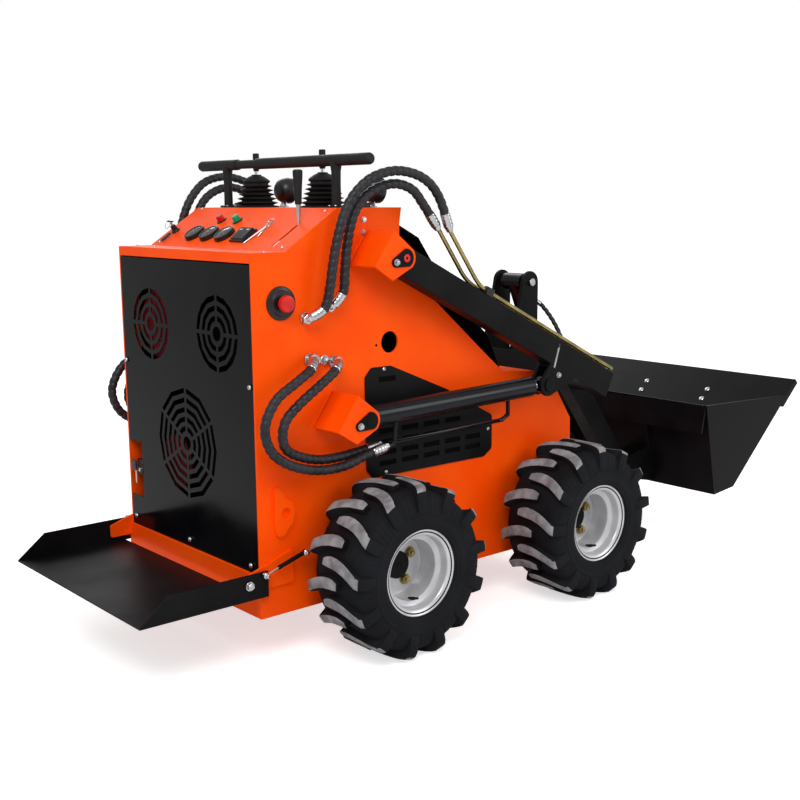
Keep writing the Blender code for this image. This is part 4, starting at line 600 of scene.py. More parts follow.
def piece(name, mesh, finishes, body=None, nodes=(), sharp=40, weighted=True):
    """Makes the object of a mesh drawn in the machine's places and ties it to its body."""
    bmesh.ops.translate(mesh, verts=mesh.verts, vec=SHIFT)
    data = bpy.data.meshes.new(name)
    mesh.to_mesh(data)
    mesh.free()
    for label in finishes:
        data.materials.append(material_named(label))
    data.shade_smooth()
    data.set_sharp_from_angle(angle=math.radians(sharp))
    item = bpy.data.objects.new(name, data)
    bpy.context.scene.collection.objects.link(item)
    if weighted:
        normals = item.modifiers.new("even_normals", "WEIGHTED_NORMAL")
        normals.keep_sharp = True
    if nodes:
        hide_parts(*nodes)
    if body:
        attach(item, body)
    return item


def side_name(side):
    return "left" if side > 0 else "right"


def span(side, inner, outer):
    return (inner, outer) if side > 0 else (-outer, -inner)


def at(point, y):
    """The same place with its distance across set."""
    return Vector((point[0], y, point[2]))


def arc(middle, radius, start, end, steps=8):
    """Points on an arc between two angles in degrees, for outlines."""
    points = []
    for step in range(steps + 1):
        turn = math.radians(start + (end - start) * step / steps)
        points.append((middle[0] + radius * math.cos(turn), middle[1] + radius * math.sin(turn)))
    return points


# What a user would change

class LoaderWheelSizes(bpy.types.PropertyGroup):
    """Sizes of the tyres and wheels"""
    lug_count: IntProperty(name="Lugs", description="Lugs on each side of a tyre", default=13, min=6, max=24)
    lug_width: FloatProperty(name="Lug width", description="Width of a lug's face", default=0.030,
                             subtype="DISTANCE", unit="LENGTH")
    lug_lead: FloatProperty(name="Lug lead", description="How far a lug's shoulder runs ahead of its middle",
                            default=math.radians(9.4), subtype="ANGLE")


class LoaderHoseSizes(bpy.types.PropertyGroup):
    """Sizes of the hydraulic hoses and their spiral guard"""
    radius: FloatProperty(name="Radius", description="Radius of a guarded hose", default=0.0130,
                          subtype="DISTANCE", unit="LENGTH")
    thin_radius: FloatProperty(name="Tilt hose radius", description="Radius of the tilt cylinder's hose",
                               default=0.0080, subtype="DISTANCE", unit="LENGTH")
    pitch: FloatProperty(name="Guard pitch", description="Width of one turn of the guard", default=0.020,
                         subtype="DISTANCE", unit="LENGTH")
    groove: FloatProperty(name="Guard groove", description="Depth of the gap between turns",
                          default=0.0018, subtype="DISTANCE", unit="LENGTH")


class LoaderColours(bpy.types.PropertyGroup):
    """The two tones that each paint drifts between over a surface"""
    body_deep: FloatVectorProperty(name="Body, deep", description="Deeper tone of the body's powder coat",
                                   default=linear("#FC4A00")[:3], min=0.0, max=1.0, subtype="COLOR")
    body_light: FloatVectorProperty(name="Body, light", description="Lighter tone of the body's powder coat",
                                    default=linear("#FF5402")[:3], min=0.0, max=1.0, subtype="COLOR")
    plate_deep: FloatVectorProperty(name="Arms and bucket, deep",
                                    description="Deeper tone of the black powder coat",
                                    default=linear("#0B0A0C")[:3], min=0.0, max=1.0, subtype="COLOR")
    plate_light: FloatVectorProperty(name="Arms and bucket, light",
                                     description="Lighter tone of the black powder coat",
                                     default=linear("#131214")[:3], min=0.0, max=1.0, subtype="COLOR")
    wheel_deep: FloatVectorProperty(name="Wheels, deep", description="Deeper tone of the wheels' paint",
                                    default=linear("#C4C4C7")[:3], min=0.0, max=1.0, subtype="COLOR")
    wheel_light: FloatVectorProperty(name="Wheels, light", description="Lighter tone of the wheels' paint",
                                     default=linear("#D4D4D6")[:3], min=0.0, max=1.0, subtype="COLOR")


class LoaderStageSettings(bpy.types.PropertyGroup):
    """The studio round the loader"""
    key_power: FloatProperty(name="Key light", description="Power of the large light overhead",
                             default=90.0, subtype="POWER", unit="POWER")
    sky_strength: FloatProperty(name="Sky", description="Strength of the even light all round", default=0.62)
    floor_glow: FloatProperty(name="Floor glow",
                              description="Share of the floor's white that no shadow takes",
                              default=0.62, min=0.0, max=1.0, subtype="FACTOR")


# Wheels

AXLES = (("rear", 0.340), ("front", 1.038))
WHEEL_Y = 0.470
TYRE_RADIUS = 0.2285
HALF_TYRE = 0.105
# The carcass from the bead to the middle: distance from the middle plane, radius
CARCASS = ((0.0837, 0.1022), (0.0870, 0.1060), (0.0885, 0.1120), (0.0925, 0.1180), (0.0955, 0.1188),
           (0.0962, 0.1225), (0.0983, 0.1262), (0.0990, 0.1290), (0.1000, 0.1295), (0.1004, 0.1330),
           (0.1006, 0.1440), (0.1005, 0.1540), (0.1013, 0.1550), (0.1013, 0.1562), (0.1003, 0.1572),
           (0.0996, 0.1680), (0.0985, 0.1760), (0.0960, 0.1880), (0.0905, 0.1985), (0.0800, 0.2045),
           (0.0600, 0.2080), (0.0300, 0.2092))
LUG_FOOT_DROP = 0.030
# A lug's ridge from its foot on the sidewall over the shoulder and past the middle
LUG_RIDGE = ((0.1002, 0.1600), (0.1038, 0.1660), (0.1050, 0.1750), (0.1050, 0.1920), (0.1044, 0.2060),
             (0.1015, 0.2170), (0.0950, 0.2243), (0.0850, 0.2266), (0.0700, 0.2276), (0.0500, 0.2282),
             (0.0250, 0.2285), (0.0000, 0.2285), (-0.0150, 0.2285), (-0.0240, 0.2284), (-0.0300, 0.2283),
             (-0.0340, 0.2280))


def lug_lead(across, lead):
    """How far a lug has turned ahead at a distance from the middle plane."""
    return lead * (across / HALF_TYRE) ** 2


def tyre_mesh(sizes):
    """A tyre about its own middle, its outer side along +Y."""
    mesh = bmesh.new()
    half = [(across, radius) for across, radius in CARCASS]
    profile = half + [(-across, radius) for across, radius in reversed(half)]
    turned(mesh, profile, (0, 0, 0), (0, 1, 0), 104, ring=True)
    pitch = 2 * math.pi / sizes.lug_count
    for side in SIDES:
        for number in range(sizes.lug_count):
            start = pitch * (number + (0.5 if side < 0 else 0.0))
            lug(mesh, side, start, sizes)
            for rib in range(3):
                shoulder_rib(mesh, side, start + pitch * (0.34 + 0.16 * rib), sizes)
    return mesh


def lug(mesh, side, start, sizes):
    """One lug: a grid laid over the shoulder with its edges drawn down into the carcass."""
    rows = len(LUG_RIDGE)
    columns = 6
    grid = bmesh.ops.create_grid(mesh, x_segments=rows - 1, y_segments=columns, size=1.0)["verts"]
    half_width = sizes.lug_width / 2
    for vert in grid:
        row = round((vert.co.x + 1) / 2 * (rows - 1))
        column = round((vert.co.y + 1) / 2 * columns) - columns // 2
        across, radius = LUG_RIDGE[row]
        width = half_width
        if across < 0:
            width = half_width * math.sqrt(max(0.0, 1 - (across / -0.036) ** 2) * 0.82 + 0.10)
        if row < 3:
            width = half_width * (0.88 + 0.04 * row)
        # The columns' reach to the side and their drop: middle, face, eased edge and foot
        reach, drop = ((0.0, 0.0), (width * 0.86, 0.0), (width, 0.0016),
                       (width + 0.0045, LUG_FOOT_DROP))[abs(column)]
        if row == rows - 1:
            drop = LUG_FOOT_DROP
        inward = (Vector((0, across, radius)) - Vector((0, across * 0.35, 0.150))).normalized()
        point = Vector((0, across, radius)) - inward * drop
        turn = start + lug_lead(across, sizes.lug_lead) + math.copysign(reach, column) / radius
        vert.co = Vector((point.z * math.cos(turn), side * point.y, point.z * math.sin(turn)))
    rim = once(edge for vert in grid for edge in vert.link_edges if edge.is_boundary)
    bmesh.ops.holes_fill(mesh, edges=rim, sides=0)
    made = faces_at(grid)
    bmesh.ops.recalc_face_normals(mesh, faces=made)
    # The lug's outward tread faces take the paler second rubber, a painted sheen for the light falling on
    # them.
    for face in made:
        middle = face.calc_center_median()
        outward = Vector((middle.x, 0, middle.z)).normalized()
        face.material_index = 1 if face.normal.dot(outward) > 0.45 and outward.dot(middle) > 0.2150 else 0


def shoulder_rib(mesh, side, turn, sizes):
    """A thin moulded rib across the shoulder between two lugs."""
    points = []
    for across, radius in CARCASS[13:20]:
        swing = turn + lug_lead(across, sizes.lug_lead)
        points.append(Vector((radius * math.cos(swing), side * across, radius * math.sin(swing))))
    tube(mesh, points, 0.0009, 5)


def rim_profile():
    """Section of a rim from its outer lip round to the same lip, as (place, radius)."""
    outside = [(0.0900, 0.1120), (0.0893, 0.1143), (0.0872, 0.1150), (0.0850, 0.1143), (0.0842, 0.1125),
               (0.0840, 0.1050), (0.0826, 0.1025), (0.0800, 0.1015), (0.0620, 0.1008), (0.0560, 0.0985),
               (0.0510, 0.0860), (0.0480, 0.0840)]
    back = [(-place, radius) for place, radius in reversed(outside)]
    inside = [(-0.0880, 0.1095), (-0.0840, 0.0985), (-0.0800, 0.0968), (-0.0620, 0.0962), (-0.0580, 0.0945),
              (-0.0530, 0.0810), (-0.0480, 0.0792), (-0.0140, 0.0792), (-0.0140, 0.0370), (-0.0080, 0.0370),
              (-0.0080, 0.0760), (-0.0060, 0.0785), (0.0480, 0.0792), (0.0530, 0.0810), (0.0560, 0.0900),
              (0.0580, 0.0945), (0.0620, 0.0962), (0.0780, 0.0966), (0.0820, 0.0978), (0.0845, 0.1010),
              (0.0880, 0.1095)]
    return outside + back + inside


class LOADER_OT_wheels(bpy.types.Operator):
    """Tyres with their lugs, and rims with their discs and nuts"""
    bl_idname = "loader.wheels"
    bl_label = "Wheels"

    def execute(self, context):
        sizes = context.scene.loader_wheels
        tyre = tyre_mesh(sizes)
        for side in SIDES:
            for end, axle_x in AXLES:
                tail = "_" + end + "_" + side_name(side)
                centre = Vector((axle_x, side * WHEEL_Y, TYRE_RADIUS))
                mesh = tyre.copy()
                if side < 0:
                    bmesh.ops.scale(mesh, vec=(1, -1, 1), verts=mesh.verts)
                    bmesh.ops.reverse_faces(mesh, faces=mesh.faces)
                bmesh.ops.translate(mesh, verts=mesh.verts, vec=centre)
                piece("lugged_tyre" + tail, mesh, ("tyre_rubber", "lug_face_painted_sheen"), "wheel" + tail,
                      ["tyre" + tail], weighted=False)
                self.rim(centre, side, tail)
                self.hub(centre, side, tail)
        tyre.free()
        return {"FINISHED"}

    def rim(self, centre, side, tail):
        mesh = bmesh.new()
        way = Vector((0, side, 0))
        turned(mesh, rim_profile(), centre, way, 72, ring=True)
        for step in range(4):
            turn = math.radians(30 + 90 * step)
            seat = centre + Vector((0.050 * math.cos(turn), side * -0.0080, 0.050 * math.sin(turn)))
            turned(mesh, ((-0.001, 0.0155), (0.0028, 0.0152), (0.0030, 0)), seat, way, 20, 1)
            hexagon(mesh, seat + way * 0.0028, way, 0.0206, 0.0095, 1)
            turned(mesh, ((0.010, 0.0062), (0.0172, 0.0060), (0.0180, 0.0050), (0.0182, 0)),
                   seat, way, 14, 1)
        valve = centre + Vector((0, side * 0.050, -0.078))
        turned(mesh, ((-0.010, 0.0050), (0.012, 0.0046), (0.014, 0.0034), (0.026, 0.0034),
                      (0.027, 0.0028)), valve, (0, side * 0.96, 0.28), 12, 2)
        piece("wheel_rim" + tail, mesh, ("silver_wheel_paint", "yellow_zinc", "boot_rubber"), "wheel" + tail,
              ["rim" + tail])

    def hub(self, centre, side, tail):
        mesh = copied("wheel_motor" + tail, 0.0010)
        way = Vector((0, side, 0))
        end = centre + way * -0.0020
        turned(mesh, ((-0.010, 0.0362), (0.0004, 0.0362), (0.0014, 0.0350), (0.0014, 0.0130),
                      (-0.0020, 0.0110), (-0.0020, 0.0062), (0.0012, 0.0056), (0.0014, 0)), end, way, 40)
        for x_share, z_share in ((-1, -1), (-1, 1), (1, -1), (1, 1)):
            seat = Vector((centre.x + 0.054 * x_share, side * (SIDE_Y + 0.0143), centre.z + 0.054 * z_share))
            hex_bolt(mesh, seat, way, 0.019, 1)
        piece("drive_hub" + tail, mesh, ("black_powder_coat", "zinc_plated_steel"),
              NODES["wheel_motor" + tail]["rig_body"], ["wheel_motor" + tail])


# Sheets and plates

def past_slope(point):
    """Whether a point stands off the console's sloped face: its dials and the throttle."""
    return (point - SLOPE_FOOT).dot(SLOPE_UP) > 0.0012 and 0.108 < point.x < 0.30 and point.z > 1.03


def past_right_plate(point):
    """Whether a point belongs to the stop knob on the right side plate."""
    return (point.y < -SIDE_Y - 0.0008 and abs(point.x - STOP_KNOB[0]) < 0.05
            and abs(point.z - STOP_KNOB[1]) < 0.05)


def past_bracket(point):
    """Whether a point belongs to a pin keeper on a bracket's face."""
    return abs(point.y) > BRACKET_Y + 0.0008


# Each node's finish, the radius of its eased edges, and what its copy leaves out
PLATES = (
    ("side_plate_left", "orange_powder_coat", 0.0012, None),
    ("side_plate_right", "orange_powder_coat", 0.0012, past_right_plate),
    ("side_vent_left", "black_powder_coat", 0.0006, None),
    ("side_vent_right", "black_powder_coat", 0.0006, None),
    ("lower_frame", "orange_powder_coat", 0.0012, None),
    ("console", "orange_powder_coat", 0.0010, past_slope),
    ("rear_panel", "gloss_black_panel", 0.0008, None),
    ("hood", "black_powder_coat", 0.0010, None),
    ("arm_bracket_left", "orange_powder_coat", 0.0012, past_bracket),
    ("arm_bracket_right", "orange_powder_coat", 0.0012, past_bracket),
    ("cylinder_bracket_left", "orange_powder_coat", 0.0012, past_bracket),
    ("cylinder_bracket_right", "orange_powder_coat", 0.0012, past_bracket),
    ("arm_left", "black_powder_coat", 0.0020, None),
    ("arm_right", "black_powder_coat", 0.0020, None),
    ("boom_beam", "black_powder_coat", 0.0020, None),
    ("attach_plate", "black_powder_coat", 0.0012, None),
    ("bucket", "black_powder_coat", 0.0010, None),
    ("rear_bar", "orange_powder_coat", 0.0010, None),
    ("platform", "black_powder_coat", 0.0008, None),
    ("engine_block", "black_powder_coat", 0.0030, None),
)


class LOADER_OT_plates(bpy.types.Operator):
    """The frame's sheets and plates with their edges eased"""
    bl_idname = "loader.plates"
    bl_label = "Sheets and plates"

    def execute(self, context):
        for node, label, edge, leave_out in PLATES:
            mesh = copied(node, edge, leave_out=leave_out)
            piece("eased_" + node, mesh, (label,), NODES[node]["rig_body"], [node])
        self.backing()
        return {"FINISHED"}

    def backing(self):
        """What shows through the openings: flat near-black sheets behind the vents and the rear grilles,
        painted shade of the dark inside, and red fans at the rear.
        """
        for side in SIDES:
            mesh = bmesh.new()
            low, high = span(side, SIDE_Y + 0.0004, SIDE_Y + 0.0010)
            slab(mesh, ((0.355, 0.444), (0.795, 0.444), (0.798, 0.540), (0.626, 0.636), (0.430, 0.720),
                        (0.355, 0.715)), low, high, "Y", 0)
            piece("vent_shade_backing_" + side_name(side), mesh, ("painted_shade_backing",), "chassis")
        mesh = bmesh.new()
        slab(mesh, ((-0.325, 0.250), (0.325, 0.250), (0.325, 1.030), (-0.325, 1.030)), 0.052, 0.060, "X", 0)
        for y, z, radius in ((0.170, 0.835, 0.105), (0.115, 0.455, 0.075)):
            turned(mesh, ((0.0, radius * 0.30), (0.004, radius * 0.32), (0.006, radius * 0.92),
                          (0.016, radius), (0.018, radius * 0.98)), (0.050, y, z), (-1, 0, 0), 40, 1)
        piece("fans_on_shade_backing", mesh, ("painted_shade_backing", "fan_red"), "chassis")


# Hoses, pipes and their fittings

HOSE_UNIT = 0.35
FITTING_STAND = 0.024
# Each hose's name, its fitting's place on the side plate, the pipe or line that it leads to, and the
# points it passes: along the machine and up from the arm's pin, and out from the plate, in HOSE_UNITs
BOOM_HOSES = (
    ("boom_hose_front", (-0.498, -0.331), 0, (
        (-0.426, 0.106, -0.231), (-0.412, 0.111, -0.097), (-0.384, 0.111, 0.114),
        (-0.329, 0.117, 0.309), (-0.238, 0.129, 0.434), (-0.109, 0.143, 0.506),
        (0.042, 0.154, 0.529), (0.188, 0.160, 0.486), (0.291, 0.158, 0.385))),
    ("boom_hose_rear", (-0.698, -0.406), 1, (
        (-0.595, 0.111, -0.334), (-0.561, 0.129, -0.197), (-0.538, 0.134, -0.054),
        (-0.501, 0.140, 0.123), (-0.429, 0.146, 0.331), (-0.332, 0.160, 0.474),
        (-0.189, 0.186, 0.580), (0.019, 0.209, 0.620), (0.245, 0.217, 0.569),
        (0.391, 0.223, 0.437))),
)
LIFT_HOSES = (
    ("cylinder_hose_low", (-0.669, -0.703), 1, (
        (-0.755, 0.140, -0.763), (-0.895, 0.169, -0.831), (-1.075, 0.174, -0.940),
        (-1.169, 0.174, -1.117), (-1.126, 0.174, -1.283), (-1.004, 0.177, -1.389),
        (-0.846, 0.186, -1.454), (-0.675, 0.197, -1.483), (-0.489, 0.204, -1.474),
        (-0.318, 0.204, -1.429))),
    ("cylinder_hose_high", (-0.452, -0.737), 0, (
        (-0.546, 0.143, -0.791), (-0.704, 0.174, -0.877), (-0.875, 0.180, -0.980),
        (-0.995, 0.180, -1.083), (-1.028, 0.177, -1.195), (-0.987, 0.166, -1.298),
        (-0.853, 0.148, -1.371), (-0.689, 0.135, -1.416), (-0.518, 0.131, -1.424),
        (-0.346, 0.134, -1.411))),
)
# The same from the tower's pin, and out from the centre plane
TILT_HOSE = ((0.291, 0.057, -0.231), (0.331, 0.171, -0.369), (0.337, 0.286, -0.540),
             (0.271, 0.414, -0.726), (0.119, 0.514, -0.863))
PIPE_RADIUS = 0.006
# Height of the pipes above an arm's middle, and their places across it in pipe radii
PIPE_RISE = 0.0498
PIPE_PLACES = (-1.05, 2.25)
# Distance from a lift barrel's pin to its open end
LIFT_GLAND = 0.6321
# The steel lines under a lift barrel: out from its middle in hose radii, then along and below
LIFT_LINES = (
    (-1.1, ((0.130, -2.79), (0.843, -2.52), (0.881, -2.07), (0.881, -0.28))),
    (1.1, ((0.130, -2.79), (0.166, -2.72), (0.174, -0.69))),
)


def arm_point(along, rise, y=0.0):
    """The place at a distance along an arm from its pin and above its middle."""
    point = ARM_PIN + ARM_ALONG * along + ARM_UP * rise
    return Vector((point.x, y, point.z))


def pipe_line(side, number):
    """The corners of a steel pipe on an arm, from its hose to the beam."""
    y = side * (ARM_Y + PIPE_RADIUS * PIPE_PLACES[number])
    bend = arm_point(0.265 + 0.035 * number, PIPE_RISE, y)
    start = bend + Vector((-0.72, 0, 1)).normalized() * (0.176 + 0.012 * number)
    return [start, bend, arm_point(0.935, PIPE_RISE, y)]


def lift_line(side, number):
    """The corners of a steel line under a lift barrel, from its hose to the barrel."""
    out, shares = LIFT_LINES[number]
    corners = []
    for along, down in shares:
        corners.append(Vector((LIFT_BASE.x + LIFT_GLAND * along, side * (ARM_Y + 0.013 * out),
                               LIFT_BASE.z + 0.029 * down)))
    return corners


def bulkhead(place, side):
    """The seat of a hose's fitting on a side plate."""
    return Vector((ARM_PIN.x + HOSE_UNIT * place[0], side * (SIDE_Y + 0.0003),
                   ARM_PIN.z + HOSE_UNIT * place[1]))


def hose_path(place, side, shares, end, spacing=0.0025):
    """A side hose's centreline from its fitting on the plate to the end of its pipe."""
    seat = bulkhead(place, side)
    knots = [seat, seat + Vector((0, side * FITTING_STAND, 0))]
    for a, b, c in shares:
        knots.append(Vector((ARM_PIN.x + HOSE_UNIT * a, side * (SIDE_Y + HOSE_UNIT * b),
                             ARM_PIN.z + HOSE_UNIT * c)))
    return smooth_path(knots + [end], spacing)


def guard(sizes):
    """The relief of a spiral guard: a soft-edged gap once a turn."""
    def relief(travelled, turn):
        phase = travelled / sizes.pitch - turn / (2 * math.pi)
        return -sizes.groove * abs(math.cos(math.pi * phase)) ** 8
    return relief


def ferrule(mesh, points, radius, index=0):
    """A crimped steel sleeve along the first stretch of a path."""
    radii = []
    count = len(points)
    for step in range(count):
        share = step / (count - 1)
        grip = 0.0007 * (0.5 + 0.5 * math.cos(share * 8 * math.pi))
        radii.append(radius - grip if 0.06 < share < 0.94 else radius - 0.0014)
    tube(mesh, points, radii, 20, index)


def nut_on(mesh, points, place, across, height, index=0):
    """A hexagon round a path at a distance along it."""
    short = part_of_path(points, place, place + 0.004)
    hexagon(mesh, short[0], (short[-1] - short[0]).normalized(), across, height, index)


def declare_hose(run):
    route = smooth_path(run[::8] + [run[-1]], path_length(run) / 30)
    route = [point + SHIFT for point in route]


class LOADER_OT_hoses(bpy.types.Operator):
    """Guarded hydraulic hoses with the fittings at both ends"""
    bl_idname = "loader.hoses"
    bl_label = "Hoses and fittings"

    def execute(self, context):
        sizes = context.scene.loader_hoses
        for side in SIDES:
            tail = "_" + side_name(side)
            chassis = bmesh.new()
            arm = bmesh.new()
            barrel = bmesh.new()
            for name, place, line, shares in BOOM_HOSES:
                path = hose_path(place, side, shares, pipe_line(side, line)[0])
                self.hose(name, tail, path, "boom", sizes, (0.245, 1.0), (0.545, 1.10), side)
                self.ends(path, chassis, arm, side, place)
            for name, place, line, shares in LIFT_HOSES:
                path = hose_path(place, side, shares, lift_line(side, line)[0])
                self.hose(name, tail, path, "lift_barrel" + tail, sizes, (0.191, 0.643), (0.280, 0.525), side)
                self.ends(path, chassis, barrel, side, place)
            for x, z in ((0.184, 0.769), (0.212, 0.766)):
                seat = Vector((x, side * SIDE_Y, z))
                turned(chassis, ((-0.001, 0.0135), (0.003, 0.0135), (0.004, 0.0125)), seat, (0, side, 0), 24)
                hexagon(chassis, seat + Vector((0, side * 0.003, 0)), (0, side, 0), 0.019, 0.009)
            metal = ("zinc_plated_steel", "yellow_zinc")
            piece("bulkhead_fittings" + tail, chassis, metal, "chassis")
            piece("pipe_fittings" + tail, arm, metal, "boom")
            piece("lift_line_fittings" + tail, barrel, metal, "lift_barrel" + tail)
        self.tilt(sizes)
        return {"FINISHED"}

    def hose(self, name, tail, path, body, sizes, start, end, side):
        whole = path_length(path)
        run = part_of_path(path, 0.048, whole - 0.014)
        mesh = bmesh.new()
        tube(mesh, run, sizes.radius - 0.0005, 16, 0, guard(sizes))
        made = piece(name + "_guarded" + tail, mesh, ("hose_rubber",), None, [name + tail], sharp=60,
                     weighted=False)
        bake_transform(made)
        declare_hose(run)

    def ends(self, path, chassis, far, side, place):
        whole = path_length(path)
        seat = bulkhead(place, side)
        way = Vector((0, side, 0))
        hexagon(chassis, seat, way, 0.027, 0.007)
        turned(chassis, ((0.006, 0.0100), (0.013, 0.0100), (0.014, 0.0090)), seat, way, 20)
        tube(chassis, part_of_path(path, 0.004, 0.050), 0.0078, 14)
        nut_on(chassis, path, 0.012, 0.0225, 0.012)
        ferrule(chassis, part_of_path(path, 0.030, 0.066), 0.0138)
        nut_on(chassis, path, 0.0245, 0.0205, 0.008)
        ferrule(far, part_of_path(path, whole - 0.050, whole - 0.010), 0.0138)
        nut_on(far, path, whole - 0.016, 0.0195, 0.014)
        nut_on(far, path, whole - 0.0045, 0.0165, 0.0065)

    def tilt(self, sizes):
        lean = (TILT_ROD_PIN - TOWER_PIN).normalized()
        front = Vector((-lean.z, 0, lean.x))
        start = TOWER_PIN + lean * 0.100 + front * 0.0273
        knots = [start, start + front * 0.024]
        for a, b, c in TILT_HOSE:
            knots.append(Vector((TOWER_PIN.x + HOSE_UNIT * a, -HOSE_UNIT * b, TOWER_PIN.z + HOSE_UNIT * c)))
        end = arm_point(0.9153, 0, knots[-1].y)
        knots += [end + ARM_ALONG * 0.024, end]
        path = smooth_path(knots, 0.0030)
        whole = path_length(path)
        run = part_of_path(path, 0.040, whole - 0.030)
        mesh = bmesh.new()
        tube(mesh, run, sizes.thin_radius - 0.0003, 14, 0, guard(sizes))
        made = piece("tilt_hose_guarded", mesh, ("hose_rubber",), None, ["tilt_hose"], sharp=60,
                     weighted=False)
        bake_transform(made)
        declare_hose(run)
        barrel = bmesh.new()
        turned(barrel, ((-0.002, 0.0085), (0.008, 0.0085), (0.009, 0.0075)), start, front, 20)
        tube(barrel, part_of_path(path, 0.0, 0.030), 0.0048, 12)
        nut_on(barrel, path, 0.010, 0.0170, 0.010)
        ferrule(barrel, part_of_path(path, 0.020, 0.052), 0.0090)
        piece("tilt_port_fittings", barrel, ("zinc_plated_steel",), "tilt_barrel")
        beam = bmesh.new()
        ferrule(beam, part_of_path(path, whole - 0.045, whole - 0.014), 0.0090)
        nut_on(beam, path, whole - 0.015, 0.0170, 0.012)
        piece("tilt_hose_far_fittings", beam, ("zinc_plated_steel",), "boom")


class LOADER_OT_pipes(bpy.types.Operator):
    """Steel pipes along the arms with their clamps, and the lines under the lift barrels"""
    bl_idname = "loader.pipes"
    bl_label = "Pipes and clamps"

    def execute(self, context):
        for side in SIDES:
            tail = "_" + side_name(side)
            mesh = bmesh.new()
            for number in range(2):
                tube(mesh, bent_path(pipe_line(side, number), 0.035, 10), PIPE_RADIUS, 16)
            middle_y = side * (ARM_Y + PIPE_RADIUS * 0.6)
            middle = arm_point(0.335, PIPE_RISE - 0.001, middle_y)
            tilt = math.atan2(-ARM_ALONG.z, ARM_ALONG.x)
            block(mesh, middle, (0.028, 0.046, 0.023), tilt, 1, 0.002)
            hex_bolt(mesh, arm_point(0.335, PIPE_RISE + 0.0105, middle_y), ARM_UP, 0.010, 2)
            piece("steel_pipes" + tail, mesh, ("yellow_zinc", "moulded_black_plastic", "zinc_plated_steel"),
                  "boom", ["boom_pipes" + tail])
        return {"FINISHED"}


# Cylinders

class LOADER_OT_cylinders(bpy.types.Operator):
    """Lift and tilt cylinders with their glands, eyes and lines"""
    bl_idname = "loader.cylinders"
    bl_label = "Cylinders"

    def execute(self, context):
        for side in SIDES:
            tail = "_" + side_name(side)
            mesh = copied("lift_barrel" + tail, 0.0012, sharp=40)
            lean = (ROD_PIN - LIFT_BASE).normalized()
            base = at(LIFT_BASE, side * ARM_Y)
            turned(mesh, ((0.0295, 0.0286), (0.0310, 0.0302), (0.0330, 0.0306), (0.0350, 0.0298),
                          (0.0360, 0.0286)), base, lean, 48, ring=True)
            for number in range(2):
                tube(mesh, bent_path(lift_line(side, number), 0.016, 8), PIPE_RADIUS + 0.0001, 14)
            gland = base + lean * (LIFT_GLAND - 0.0008)
            turned(mesh, ((0.0, 0.0200), (0.0, 0.0262), (0.0012, 0.0266), (0.0020, 0.0258), (0.0022, 0.0205)),
                   gland, lean, 48, index=1, ring=True)
            piece("lift_tube" + tail, mesh, ("cylinder_enamel", "black_powder_coat"), "lift_barrel" + tail,
                  ["lift_barrel" + tail])
            self.chromed("lift_rod" + tail)
        piece("tilt_tube", copied("tilt_barrel", 0.0012, sharp=40), ("cylinder_enamel",), "tilt_barrel",
              ["tilt_barrel"])
        self.chromed("tilt_rod")
        for side in SIDES:
            self.strut("_" + side_name(side))
        return {"FINISHED"}

    def chromed(self, node):
        """A rod in chrome with its eye painted like the barrel."""
        mesh = copied(node, 0.0008, sharp=40)
        pin = ROD_PIN if node.startswith("lift") else TILT_ROD_PIN
        for face in mesh.faces:
            middle = face.calc_center_median()
            near = math.hypot(middle.x - pin.x, middle.z - pin.z) < 0.0325
            face.material_index = 1 if near else 0
        piece("ground_" + node, mesh, ("chromed_steel", "cylinder_enamel"), NODES[node]["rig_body"], [node])

    def strut(self, tail):
        for part, label in (("strut_barrel", "black_powder_coat"), ("strut_rod", "chromed_steel")):
            node = part + tail
            piece("gas_" + node, copied(node, 0.0004, sharp=40), (label,), NODES[node]["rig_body"], [node])


# Controls

def slope_point(share, y, rise=0.0):
    """The place at a share of the slope's length, across it and above it."""
    return SLOPE_FOOT + SLOPE_ALONG * (share * SLOPE_LENGTH) + Vector((0, y, 0)) + SLOPE_UP * rise


